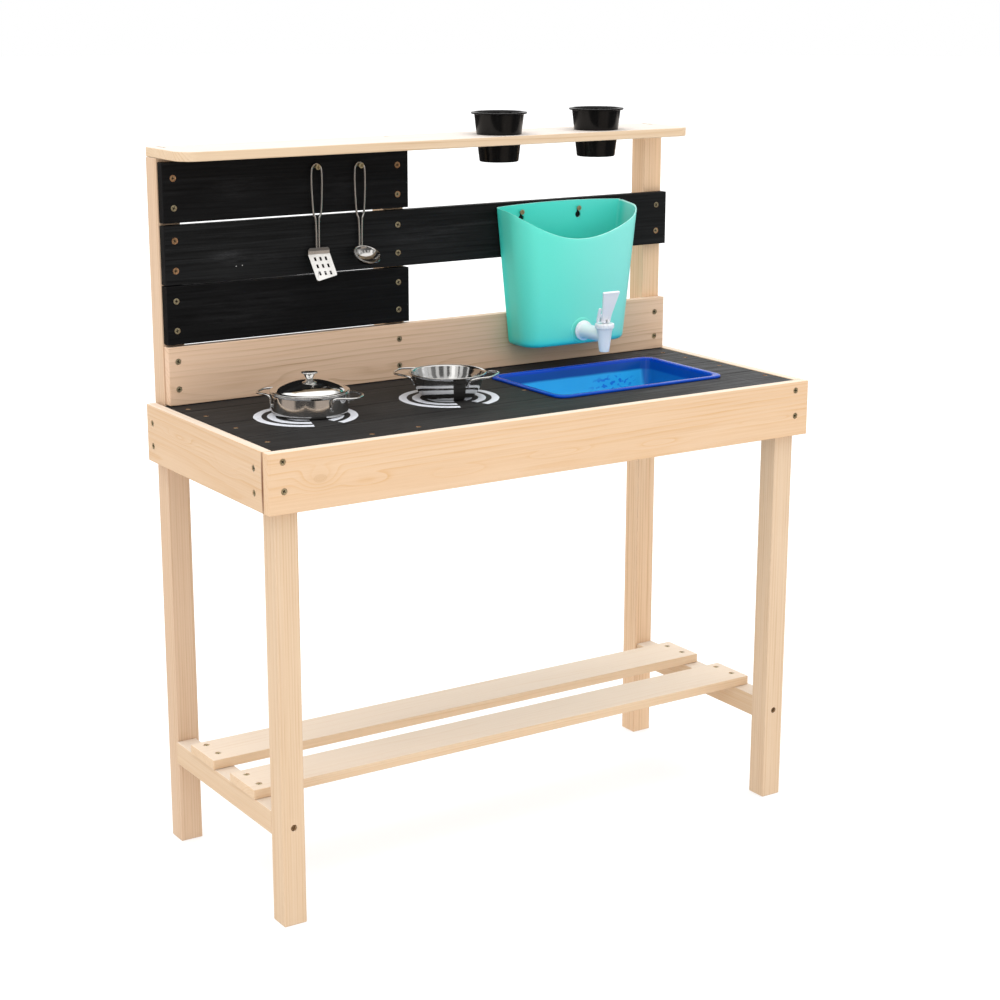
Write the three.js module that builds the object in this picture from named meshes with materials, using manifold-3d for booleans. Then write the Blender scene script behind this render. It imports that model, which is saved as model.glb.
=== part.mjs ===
// Mud kitchen: a small outdoor play kitchen of softwood boards on four legs.
// Units are millimetres, +Z up. Inside this file y = 0 is the front face of the
// front apron and +y runs towards the back boards; the last group moves the
// model so that its origin is the centre of the footprint on the ground.
import * as THREE from 'three';
import { mergeVertices } from 'three/addons/utils/BufferGeometryUtils.js';
import Module from 'manifold-3d';

const wasm = await Module();
wasm.setup();

// ---------------------------------------------------------------- dimensions
const WIDTH = 880;            // over the side aprons
const HALF = WIDTH / 2;
const GAP = 0.3;              // between touching pieces
const BOARD = 14;             // planed board thickness
const LEG_X = 33;             // leg section across the width
const LEG_Y = 32;             // leg section front to back
const DEPTH = 375;            // front apron face to the rear face of the posts
const APRON_END = 367;        // rear end of the side aprons
const TOP_Z = 646;            // upper edge of the aprons
const APRON_H = 80;
const LEG_OUT = HALF - BOARD - GAP;        // outer face of every leg
const LEG_IN = LEG_OUT - LEG_X;
const FRONT_LEG_Y0 = BOARD + GAP;
const FRONT_LEG_Y1 = FRONT_LEG_Y0 + LEG_Y;
const REAR_LEG_Y0 = DEPTH - LEG_Y;
const BOARD_Y0 = REAR_LEG_Y0 - GAP - BOARD;   // front face of the back boards
const BOARD_Y1 = REAR_LEG_Y0 - GAP;
const SHELF_TOP = 995;
const SHELF_T = 13;
const SHELF_Y0 = 262;
const SHELF_X0 = -423, SHELF_X1 = 421.7;
const SHELF_R = 25;
const MIDPOST_X0 = -74, MIDPOST_X1 = -41;
const PLANK_Z = [646.2, 727.5];
const LOW_Z = [730.5, 810.3];
const LONG_Z = [811.9, 892.2];
const UPPER_Z = [895.5, 976.5];
const BACK_X0 = -421.3;                    // left end of the back boards
const POST_LEFT_X0 = -423.3;               // the rear left post stands slightly inwards
const HALF_BOARD_X1 = -40.5;               // right end of the two short boards
const WORK_T = 13.4;                       // worktop board thickness
const WORK_TOP = 645.2;
const WORK_BOT = WORK_TOP - WORK_T;
const WORK_X = HALF - BOARD - GAP;
const WORK_Y = [[14.3, 105.8], [106.2, 197.9], [198.3, 289.8], [290.2, BOARD_Y1 - 0.2]];   // front edge, rear edge of each board
const CUT = { x0: 62, x1: 347.5, y0: 89, y1: 265.5 };   // sink cut-out
const SLAT_T = 14, SLAT_TOP = 168.5;
const SLATS = { rear: [215, 289], front: [90, 164] };
const SLAT_X0 = -428, SLAT_X1 = 421;
const RAIL_H = 33, RAIL_W = 30;
const RAIL_TOP = SLAT_TOP - SLAT_T - GAP;
const BORE_R = 4.6, BORE_D = 2.4;          // screw head recesses
// plant pots
const POT_X = [100, 273.2], POT_Y = 306;
const POT_TOP = 1027, POT_BOTTOM = 956, POT_R_RIM = 40.8, POT_R_TOP = 36.2, POT_R_BOT = 28.5;
const SHELF_HOLE_R = 33.3;
// water box
const WB = { xc: 222, z0: 680, z1: 888.5, half0: 92.1, half1: 114.6, dep0: 58.5, dep1: 66, t: 2.4, back: BOARD_Y0 - GAP };
const TAP = { x: 223, z: 702, nozzleY: 208.5 };
const KEY_X = [152.7, 256.1], KEY_Z = 877.2;
// sink basin
const BASIN = { x0: 56.5, x1: 353, y0: 83.5, y1: 271, top: 649.2, depth: 62 };
// pot and pan
const POT = { x: -277, y: 194.7, r: 52, z0: WORK_TOP + 0.1, z1: 675.6, lidR: 54.2, ang: -50 };
const PAN = { x: -62.5, y: 187.5, rRim: 54.6, rBase: 36, z0: WORK_TOP + 0.1, z1: 681 };
// hanging tools
const SPATULA = { x: -191.3, y: 323.4, z: 960.6 };
const LADLE = { x: -122.6, y: 323.4, z: 959.6 };

// ---------------------------------------------------------------- materials
const mat = (color, roughness, metalness = 0) => new THREE.MeshStandardMaterial({ color, roughness, metalness });
const PINE = mat(0xe2c49c, 0.62);
const BLACK_WOOD = mat(0x1d1d1f, 0.7);
const STEEL = mat(0xc4c4c2, 0.2, 1);
const MINT = mat(0x4fd8c6, 0.3);
const WHITE_PLASTIC = mat(0xdfe3f2, 0.35);
const BLUE = mat(0x0b36c4, 0.22);
const BLACK_PLASTIC = mat(0x17181a, 0.5);
const BRASS = mat(0xb59a5c, 0.35, 1);
const RUBBER = mat(0x2a2a2c, 0.8);

// ---------------------------------------------------------------- solids
const toSolid = (geometry) => {
  const g = geometry.clone();
  for (const name of Object.keys(g.attributes)) if (name !== 'position') g.deleteAttribute(name);
  const m = mergeVertices(g, 1e-4);
  const index = m.index ? m.index.array : Uint32Array.from({ length: m.attributes.position.count }, (_, i) => i);
  const tri = [];
  for (let i = 0; i < index.length; i += 3) {
    const [a, b, c] = [index[i], index[i + 1], index[i + 2]];
    if (a !== b && b !== c && a !== c) tri.push(a, b, c);
  }
  return new wasm.Manifold(new wasm.Mesh({
    numProp: 3,
    vertProperties: Float32Array.from(m.attributes.position.array),
    triVerts: Uint32Array.from(tri),
  }));
};
const fromSolid = (solid) => {
  const mesh = solid.getMesh();
  const g = new THREE.BufferGeometry();
  g.setAttribute('position', new THREE.BufferAttribute(Float32Array.from(mesh.vertProperties), 3));
  g.setIndex(new THREE.BufferAttribute(Uint32Array.from(mesh.triVerts), 1));
  g.computeVertexNormals();
  return g;
};
const box = (x0, x1, y0, y1, z0, z1) => {
  const g = new THREE.BoxGeometry(x1 - x0, y1 - y0, z1 - z0);
  g.translate((x0 + x1) / 2, (y0 + y1) / 2, (z0 + z1) / 2);
  return g;
};
// cylinder or cone between two points on one of the three axes
const rod = (axis, x, y, z, from, to, r0, r1 = r0, seg = 12) => {
  const g = new THREE.CylinderGeometry(r1, r0, to - from, seg);   // along +Y, r0 at the low end
  if (axis === 'z') g.rotateX(Math.PI / 2);
  if (axis === 'x') g.rotateZ(-Math.PI / 2);
  const mid = (from + to) / 2;
  g.translate(axis === 'x' ? mid : x, axis === 'y' ? mid : y, axis === 'z' ? mid : z);
  return g;
};
const cut = (geometry, tools) => {
  let s = toSolid(geometry);
  for (const t of tools) s = s.subtract(toSolid(t));
  return fromSolid(s);
};
const join = (geometries, tools = []) => {
  let s = toSolid(geometries[0]);
  for (const g of geometries.slice(1)) s = s.add(toSolid(g));
  for (const t of tools) s = s.subtract(toSolid(t));
  return fromSolid(s);
};
// turned profile [radius, z] about the vertical axis through (x, y)
const turned = (profile, x, y, seg = 32) => {
  const g = new THREE.LatheGeometry(profile.map(([r, z]) => new THREE.Vector2(r, z)), seg);
  g.rotateX(Math.PI / 2);
  g.translate(x, y, 0);
  return fixFacing(g);
};
// drops zero-area triangles and turns the faces outwards
const fixFacing = (geometry) => {
  const g = geometry.clone();
  for (const name of Object.keys(g.attributes)) if (name !== 'position') g.deleteAttribute(name);
  const m = mergeVertices(g, 1e-4);
  const p = m.attributes.position;
  const src = m.index.array;
  const out = [];
  let volume = 0;
  const a = new THREE.Vector3(), b = new THREE.Vector3(), c = new THREE.Vector3();
  for (let i = 0; i < src.length; i += 3) {
    if (src[i] === src[i + 1] || src[i + 1] === src[i + 2] || src[i] === src[i + 2]) continue;
    a.fromBufferAttribute(p, src[i]); b.fromBufferAttribute(p, src[i + 1]); c.fromBufferAttribute(p, src[i + 2]);
    volume += a.dot(b.clone().cross(c));
    out.push(src[i], src[i + 1], src[i + 2]);
  }
  if (volume < 0) for (let i = 0; i < out.length; i += 3) [out[i + 1], out[i + 2]] = [out[i + 2], out[i + 1]];
  const h = new THREE.BufferGeometry();
  h.setAttribute('position', p);
  h.setIndex(out);
  h.computeVertexNormals();
  return h;
};
// skin through rings of equally many points, closed at both ends by a fan
const loft = (rings) => {
  const n = rings[0].length;
  const v = [];
  for (const ring of rings) for (const q of ring) v.push(...q);
  const idx = [];
  for (let k = 0; k < rings.length - 1; k++) {
    for (let i = 0; i < n; i++) {
      const j = (i + 1) % n;
      const a = k * n + i, b = k * n + j, c = (k + 1) * n + i, d = (k + 1) * n + j;
      idx.push(a, b, d, a, d, c);
    }
  }
  const cap = (k, flip) => {
    const o = v.length / 3;
    const s = [0, 0, 0];
    for (const q of rings[k]) for (let t = 0; t < 3; t++) s[t] += q[t] / n;
    v.push(...s);
    for (let i = 0; i < n; i++) {
      const a = k * n + i, b = k * n + (i + 1) % n;
      if (flip) idx.push(o, b, a); else idx.push(o, a, b);
    }
  };
  cap(0, true);
  cap(rings.length - 1, false);
  const g = new THREE.BufferGeometry();
  g.setAttribute('position', new THREE.BufferAttribute(Float32Array.from(v), 3));
  g.setIndex(idx);
  return fixFacing(g);
};
// round wire along points
const wire = (points, r, steps, sides = 6, tension = 0.5) => {
  const curve = new THREE.CatmullRomCurve3(points.map((q) => new THREE.Vector3(...q)), false, 'catmullrom', tension);
  const shape = new THREE.Shape();
  for (let i = 0; i < sides; i++) {
    const t = (i / sides) * 2 * Math.PI;
    if (i === 0) shape.moveTo(r * Math.cos(t), r * Math.sin(t)); else shape.lineTo(r * Math.cos(t), r * Math.sin(t));
  }
  shape.closePath();
  return fixFacing(new THREE.ExtrudeGeometry(shape, { steps, bevelEnabled: false, extrudePath: curve }));
};
const prism = (outline, holes, depth) => {
  const shape = new THREE.Shape(outline.map(([x, y]) => new THREE.Vector2(x, y)));
  for (const h of holes) shape.holes.push(new THREE.Path(h.map(([x, y]) => new THREE.Vector2(x, y))));
  return new THREE.ExtrudeGeometry(shape, { depth, bevelEnabled: false, steps: 1 });
};
const circle = (x, y, r, n, a0 = 0) => Array.from({ length: n }, (_, i) => {
  const t = a0 + (i / n) * 2 * Math.PI;
  return [x + r * Math.cos(t), y + r * Math.sin(t)];
});
// board with round screw recesses; each recess is [axis, x, y, z, sign of the side it is cut from]
const board = (x0, x1, y0, y1, z0, z1, bores = [], tools = []) => {
  const cuts = bores.map(([axis, x, y, z, side, r = BORE_R, d = BORE_D]) => {
    const face = { x: side > 0 ? x1 : x0, y: side > 0 ? y1 : y0, z: side > 0 ? z1 : z0 }[axis];
    return side > 0 ? rod(axis, x, y, z, face - d, face + 2, r) : rod(axis, x, y, z, face - 2, face + d, r);
  });
  if (!cuts.length && !tools.length) return box(x0, x1, y0, y1, z0, z1);
  return cut(box(x0, x1, y0, y1, z0, z1), [...cuts, ...tools]);
};

const kitchen = new THREE.Group();
const add = (name, geometry, material, parent = kitchen) => {
  const m = new THREE.Mesh(geometry, material);
  m.name = name;
  parent.add(m);
  return m;
};

// ---------------------------------------------------------------- legs and posts
const RAIL_SCREW_Z = RAIL_TOP - RAIL_H / 2;
const RAIL_SCREW_X = 408.6;
const SCREW_R = 1.9, SCREW_HEAD = 4.3;
const railHole = (x, y0, y1) => rod('y', x, 0, RAIL_SCREW_Z, y0, y1, SCREW_R + 0.4, SCREW_R + 0.4, 10);
for (const [side, s] of [['left', -1], ['right', 1]]) {
  const x0 = s < 0 ? -LEG_OUT : LEG_IN, x1 = s < 0 ? -LEG_IN : LEG_OUT;
  add(`leg_front_${side}`, board(x0, x1, FRONT_LEG_Y0, FRONT_LEG_Y1, 0, WORK_BOT - GAP,
    [['y', s * RAIL_SCREW_X, 0, RAIL_SCREW_Z, -1, SCREW_HEAD + 0.4, 3]],
    [railHole(s * RAIL_SCREW_X, FRONT_LEG_Y0 - 1, FRONT_LEG_Y1 + 1)]), PINE);
  const p0 = s < 0 ? POST_LEFT_X0 : x0;
  add(`post_rear_${side}`, board(p0, p0 + LEG_X, REAR_LEG_Y0, DEPTH, 0, SHELF_TOP - SHELF_T - GAP,
    [['y', s * RAIL_SCREW_X, 0, RAIL_SCREW_Z, 1, SCREW_HEAD + 0.4, 3]],
    [railHole(s * RAIL_SCREW_X, REAR_LEG_Y0 - 1, DEPTH + 1)]), PINE);
}
add('post_middle', board(MIDPOST_X0, MIDPOST_X1, REAR_LEG_Y0, DEPTH, PLANK_Z[0], SHELF_TOP - SHELF_T - GAP), PINE);

// ---------------------------------------------------------------- aprons
const APRON_BOT = TOP_Z - APRON_H;
add('apron_front', board(-HALF, HALF, 0, BOARD, APRON_BOT, TOP_Z, [
  ['y', -419, 0, 633.5, -1], ['y', -418, 0, 595.6, -1], ['y', 416, 0, 633.3, -1], ['y', 416.8, 0, 595.6, -1],
]), PINE);
add('apron_left', board(-HALF, -HALF + BOARD, BOARD + 2.2, APRON_END, APRON_BOT, TOP_Z, [
  ['x', 0, 40.5, 620.3, -1], ['x', 0, 40.5, 588.3, -1], ['x', 0, 349.5, 621, -1], ['x', 0, 349, 589.2, -1],
]), PINE);
add('apron_right', board(HALF - BOARD, HALF, BOARD + 1.4, APRON_END, APRON_BOT, TOP_Z, [
  ['x', 0, 40.5, 620.3, 1], ['x', 0, 40.5, 588.3, 1], ['x', 0, 350, 621, 1], ['x', 0, 350, 589.2, 1],
]), PINE);
add('apron_rear', board(-LEG_OUT, LEG_OUT, BOARD_Y0, BOARD_Y1, APRON_BOT, WORK_BOT - GAP), PINE);

// ---------------------------------------------------------------- worktop
const cutOut = box(CUT.x0, CUT.x1, CUT.y0, CUT.y1, WORK_BOT - 5, WORK_TOP + 5);
const [[w0, w1], [w2, w3], [w4, w5], [w6, w7]] = WORK_Y;
add('worktop_board_front', board(-WORK_X, WORK_X, w0, w1, WORK_BOT, WORK_TOP, [
  ['z', -406.4, 66, 0, 1, 3.6, 2], ['z', 414, 66.5, 0, 1, 3.6, 2],
  ['z', -272.4, 33.5, 0, 1, 3.6, 2], ['z', -199.4, 39, 0, 1, 3.6, 2],
], [cutOut]), BLACK_WOOD);
add('worktop_board_centre_left', board(-WORK_X, CUT.x0, w2, w3, WORK_BOT, WORK_TOP, [
  ['z', -404, 162, 0, 1, 3.6, 2], ['z', 52.5, 167, 0, 1, 3.6, 2],
]), BLACK_WOOD);
add('worktop_board_centre_right', board(CUT.x1, WORK_X, w2, w3, WORK_BOT, WORK_TOP, [
  ['z', 408, 165, 0, 1, 3.6, 2],
]), BLACK_WOOD);
add('worktop_board_rear', board(-WORK_X, WORK_X, w4, w5, WORK_BOT, WORK_TOP, [
  ['z', -405, 250, 0, 1, 3.6, 2], ['z', 406, 246, 0, 1, 3.6, 2],
], [cutOut]), BLACK_WOOD);
add('worktop_strip_back', board(-WORK_X, WORK_X, w6, w7, WORK_BOT, WORK_TOP, [
  ['z', -406.5, 304.3, 0, 1, 3.6, 2], ['z', 401, 296.5, 0, 1, 3.6, 2],
]), BLACK_WOOD);
for (const [side, s] of [['left', -1], ['right', 1]]) {
  const x0 = s < 0 ? -LEG_OUT : LEG_IN, x1 = s < 0 ? -LEG_IN : LEG_OUT;
  add(`worktop_ledger_${side}`, board(x0, x1, FRONT_LEG_Y1 + GAP, BOARD_Y0 - GAP, WORK_BOT - GAP - 33, WORK_BOT - GAP), PINE);
}
add('worktop_batten_left', board(-276, -196, 18, 324, WORK_BOT - GAP - BOARD, WORK_BOT - GAP), PINE);
add('worktop_batten_middle', board(24, 60, 18, 324, WORK_BOT - GAP - BOARD, WORK_BOT - GAP), PINE);

// ---------------------------------------------------------------- back boards
const column = (x, zs) => zs.map((z) => ['y', x, 0, z, -1]);
add('splash_plank', board(BACK_X0, LEG_OUT, BOARD_Y0, BOARD_Y1, PLANK_Z[0], PLANK_Z[1], [
  ...column(-407, [706.9, 668.4]), ...column(-57.3, [705.4, 666.3]), ...column(407.8, [704.8, 666.3]),
]), PINE);
add('back_board_lower', board(BACK_X0, HALF_BOARD_X1, BOARD_Y0, BOARD_Y1, LOW_Z[0], LOW_Z[1], [
  ...column(-406.5, [789.9, 749.4]), ...column(-58, [788.7, 749]),
]), BLACK_WOOD);
// screws that carry the water box and the hanging tools stand in drilled holes
const pilot = (x, z) => rod('y', x, 0, z, BOARD_Y0 - 2, BOARD_Y0 + 12.4, 2.1, 2.1, 10);
add('back_board_long', board(BACK_X0, LEG_OUT, BOARD_Y0, BOARD_Y1, LONG_Z[0], LONG_Z[1], [
  ...column(-405.6, [871.6, 831.2]), ...column(-58, [871.5, 831.2]), ...column(407, [872.7, 832.8]),
], KEY_X.map((x) => pilot(x, KEY_Z))), BLACK_WOOD);
add('back_board_upper', board(BACK_X0, HALF_BOARD_X1, BOARD_Y0, BOARD_Y1, UPPER_Z[0], UPPER_Z[1], [
  ...column(-405.2, [955.4, 915.5]), ...column(-58, [956.5, 915]),
], [pilot(SPATULA.x, SPATULA.z), pilot(LADLE.x, LADLE.z)]), BLACK_WOOD);

// ---------------------------------------------------------------- top shelf
{
  const outline = [[SHELF_X0, DEPTH], [SHELF_X0, SHELF_Y0 + SHELF_R]];
  for (let i = 1; i <= 8; i++) {
    const t = Math.PI + (i / 8) * (Math.PI / 2);
    outline.push([SHELF_X0 + SHELF_R + SHELF_R * Math.cos(t), SHELF_Y0 + SHELF_R + SHELF_R * Math.sin(t)]);
  }
  for (let i = 0; i <= 8; i++) {
    const t = -Math.PI / 2 + (i / 8) * (Math.PI / 2);
    outline.push([SHELF_X1 - SHELF_R + SHELF_R * Math.cos(t), SHELF_Y0 + SHELF_R + SHELF_R * Math.sin(t)]);
  }
  outline.push([SHELF_X1, DEPTH]);
  const g = prism(outline, POT_X.map((x) => circle(x, POT_Y, SHELF_HOLE_R, 32)), SHELF_T);
  g.translate(0, 0, SHELF_TOP - SHELF_T);
  const bores = [[-408, 350], [-57.5, 358], [408, 350], [-408, 366], [408, 366]].map(([x, y]) =>
    rod('z', x, y, 0, SHELF_TOP - BORE_D, SHELF_TOP + 2, BORE_R));
  add('top_shelf', cut(g, bores), PINE);
}

// ---------------------------------------------------------------- lower shelf
for (const [side, s] of [['left', -1], ['right', 1]]) {
  const x0 = s < 0 ? -LEG_OUT : LEG_OUT - RAIL_W, x1 = s < 0 ? -LEG_OUT + RAIL_W : LEG_OUT;
  const y0 = FRONT_LEG_Y1 + GAP, y1 = REAR_LEG_Y0 - GAP;
  add(`shelf_rail_${side}`, board(x0, x1, y0, y1, RAIL_TOP - RAIL_H, RAIL_TOP, [], [
    railHole(s * RAIL_SCREW_X, y0 - 1, y0 + 34), railHole(s * RAIL_SCREW_X, y1 - 34, y1 + 1),
  ]), PINE);
}
add('shelf_slat_rear', board(SLAT_X0, SLAT_X1, SLATS.rear[0], SLATS.rear[1], SLAT_TOP - SLAT_T, SLAT_TOP, [
  ['z', -410, 275, 0, 1], ['z', -409.4, 238.4, 0, 1], ['z', 403.5, 271, 0, 1], ['z', 405, 235, 0, 1],
]), PINE);
add('shelf_slat_front', board(SLAT_X0, SLAT_X1, SLATS.front[0], SLATS.front[1], SLAT_TOP - SLAT_T, SLAT_TOP, [
  ['z', -411.6, 146, 0, 1], ['z', -411.8, 108, 0, 1], ['z', 405.7, 149, 0, 1], ['z', 406.8, 113, 0, 1],
]), PINE);
// long screws through the legs into the rails
const longScrew = (x, face, dir) => {
  // head just under the surface, shank pointing into the timber
  const p = [[0, 0.9], [SCREW_HEAD, 0.9], [SCREW_R, 2.9], [SCREW_R, 60], [0.5, 64], [0, 64]];
  const g = turned(p, 0, 0, 10);
  g.rotateX(dir > 0 ? -Math.PI / 2 : Math.PI / 2);
  g.translate(x, face, RAIL_SCREW_Z);
  return g;
};
for (const [side, s] of [['left', -1], ['right', 1]]) {
  add(`rail_screw_front_${side}`, longScrew(s * RAIL_SCREW_X, FRONT_LEG_Y0, 1), BRASS);
  add(`rail_screw_rear_${side}`, longScrew(s * RAIL_SCREW_X, DEPTH, -1), BRASS);
}
// screws that things hang on: flat head, bare neck, thread in the board
const hangScrew = (x, z, reach, r = 1.7, head = 3.9) => {
  const p = [[0, -reach], [head * 0.75, -reach], [head, -reach + 0.9], [head, -reach + 1.3], [r, -reach + 2.6], [r, 11], [0, 12]];
  const g = turned(p, 0, 0, 12);
  g.rotateX(-Math.PI / 2);
  g.translate(x, BOARD_Y0, z);
  return g;
};
add('spatula_screw', hangScrew(SPATULA.x, SPATULA.z, 11.5), BRASS);
add('ladle_screw', hangScrew(LADLE.x, LADLE.z, 11.5), BRASS);
add('water_box_screw_left', hangScrew(KEY_X[0], KEY_Z, 6.6), BRASS);
add('water_box_screw_right', hangScrew(KEY_X[1], KEY_Z, 6.6), BRASS);

// ---------------------------------------------------------------- plant pots
for (const [i, side] of ['left', 'right'].entries()) {
  const t = 1.6, lip = POT_TOP - 2.8;
  add(`plant_pot_${side}`, turned([
    [0, POT_BOTTOM], [POT_R_BOT - 1, POT_BOTTOM], [POT_R_BOT, POT_BOTTOM + 1.5], [POT_R_TOP, lip],
    [POT_R_RIM - 0.3, lip], [POT_R_RIM, POT_TOP - 0.9], [POT_R_RIM - 0.7, POT_TOP],
    [POT_R_TOP - 0.4, POT_TOP], [POT_R_TOP - t, lip + 1.2],
    [POT_R_BOT - t, POT_BOTTOM + 3], [0, POT_BOTTOM + 3],
  ], POT_X[i], POT_Y, 28), BLACK_PLASTIC);
}

// ---------------------------------------------------------------- water box
const wbPlan = (z, off) => {
  // plan outline at height z, pulled in by off; starts at the middle of the back wall
  const k = (z - WB.z0) / (WB.z1 - WB.z0);
  const half = WB.half0 + (WB.half1 - WB.half0) * k - off;
  const dep = WB.dep0 + (WB.dep1 - WB.dep0) * k - off;
  const r = 26 + 6 * k - off, rb = Math.max(7 - off, 2.5);
  const back = WB.back - off, y0 = WB.back - dep;
  const right = [];
  for (let i = 0; i <= 3; i++) right.push([(half - rb) * (i / 3), back]);
  for (let i = 1; i <= 3; i++) {
    const t = Math.PI / 2 - (i / 3) * (Math.PI / 2);
    right.push([half - rb + rb * Math.cos(t), back - rb + rb * Math.sin(t)]);
  }
  for (let i = 1; i <= 2; i++) right.push([half, back - rb + (y0 + r - (back - rb)) * (i / 2)]);
  for (let i = 1; i <= 6; i++) {
    const t = -(i / 6) * (Math.PI / 2);
    right.push([half - r + r * Math.cos(t), y0 + r + r * Math.sin(t)]);
  }
  for (let i = 1; i <= 6; i++) right.push([(half - r) * (1 - i / 6), y0]);
  const crown = (x, y) => (y < WB.back - dep * 0.45 ? y - 2.6 * Math.max(0, 1 - (x / half) ** 2) : y);
  const pts = right.map(([x, y]) => [x, crown(x, y)]);
  const left = pts.slice(1, -1).reverse().map(([x, y]) => [-x, y]);
  return [...pts, ...left].map(([x, y]) => [WB.xc + x, y]);
};
const wbRim = (x, y) => {
  const d = (x - WB.xc) ** 2;
  return Math.min(890.1 - 0.00027 * d, y > WB.back - 3 ? 900 : 839.8 + 0.003 * d + 0.13 * Math.max(0, y - 268));
};
{
  const rings = [];
  // outside, from the base up
  rings.push(wbPlan(WB.z0, 8).map(([x, y]) => [x, y, WB.z0]));
  rings.push(wbPlan(WB.z0, 2.2).map(([x, y]) => [x, y, WB.z0 + 2.4]));
  const base = wbPlan(WB.z0 + 8, 0);
  const atHeight = (f, off, zLow) => {
    // ring whose points stand at a share f of the way from zLow to the rim
    const top = wbPlan(WB.z1, off);
    return top.map(([tx, ty], i) => {
      const rim = wbRim(tx, ty);
      const z = zLow + (rim - zLow) * f;
      const p = wbPlan(z, off)[i];
      return [p[0], p[1], z];
    });
  };
  rings.push(base.map(([x, y]) => [x, y, WB.z0 + 8]));
  for (const f of [0.3, 0.6, 0.82, 1]) rings.push(atHeight(f, 0, WB.z0 + 8));
  // inside, from the rim down
  for (const f of [1, 0.6, 0.3]) rings.push(atHeight(f, WB.t, WB.z0 + 9));
  rings.push(wbPlan(WB.z0 + 9, WB.t).map(([x, y]) => [x, y, WB.z0 + 9]));
  rings.push(wbPlan(WB.z0 + 3, 9).map(([x, y]) => [x, y, WB.z0 + WB.t + 0.4]));
  const shell = loft(rings);
  // round boss for the tap, through hole and the two keyholes
  const wallY = wbPlan(TAP.z, 0).reduce((m, [, y]) => Math.min(m, y), 1e9);
  TAP.seatY = wallY - 1.4;
  const boss = rod('y', TAP.x, 0, TAP.z, TAP.seatY, wallY + 2.2, 19, 19, 24);
  const tools = [rod('y', TAP.x, 0, TAP.z, TAP.seatY - 3, wallY + 12, 8.2, 8.2, 16)];
  for (const x of KEY_X) {
    tools.push(rod('y', x, 0, KEY_Z - 9.5, WB.back - 6, WB.back + 3, 5, 5, 14));
    tools.push(box(x - 2.3, x + 2.3, WB.back - 6, WB.back + 3, KEY_Z - 9, KEY_Z));
    tools.push(rod('y', x, 0, KEY_Z, WB.back - 6, WB.back + 3, 2.3, 2.3, 12));
  }
  const bossClean = toSolid(boss).subtract(toSolid(box(0, 400, wallY + 1.2, 400, 0, 1000)));
  let s = toSolid(shell).add(bossClean);
  for (const t of tools) s = s.subtract(toSolid(t));
  add('water_box', fromSolid(s), MINT);
}

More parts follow.
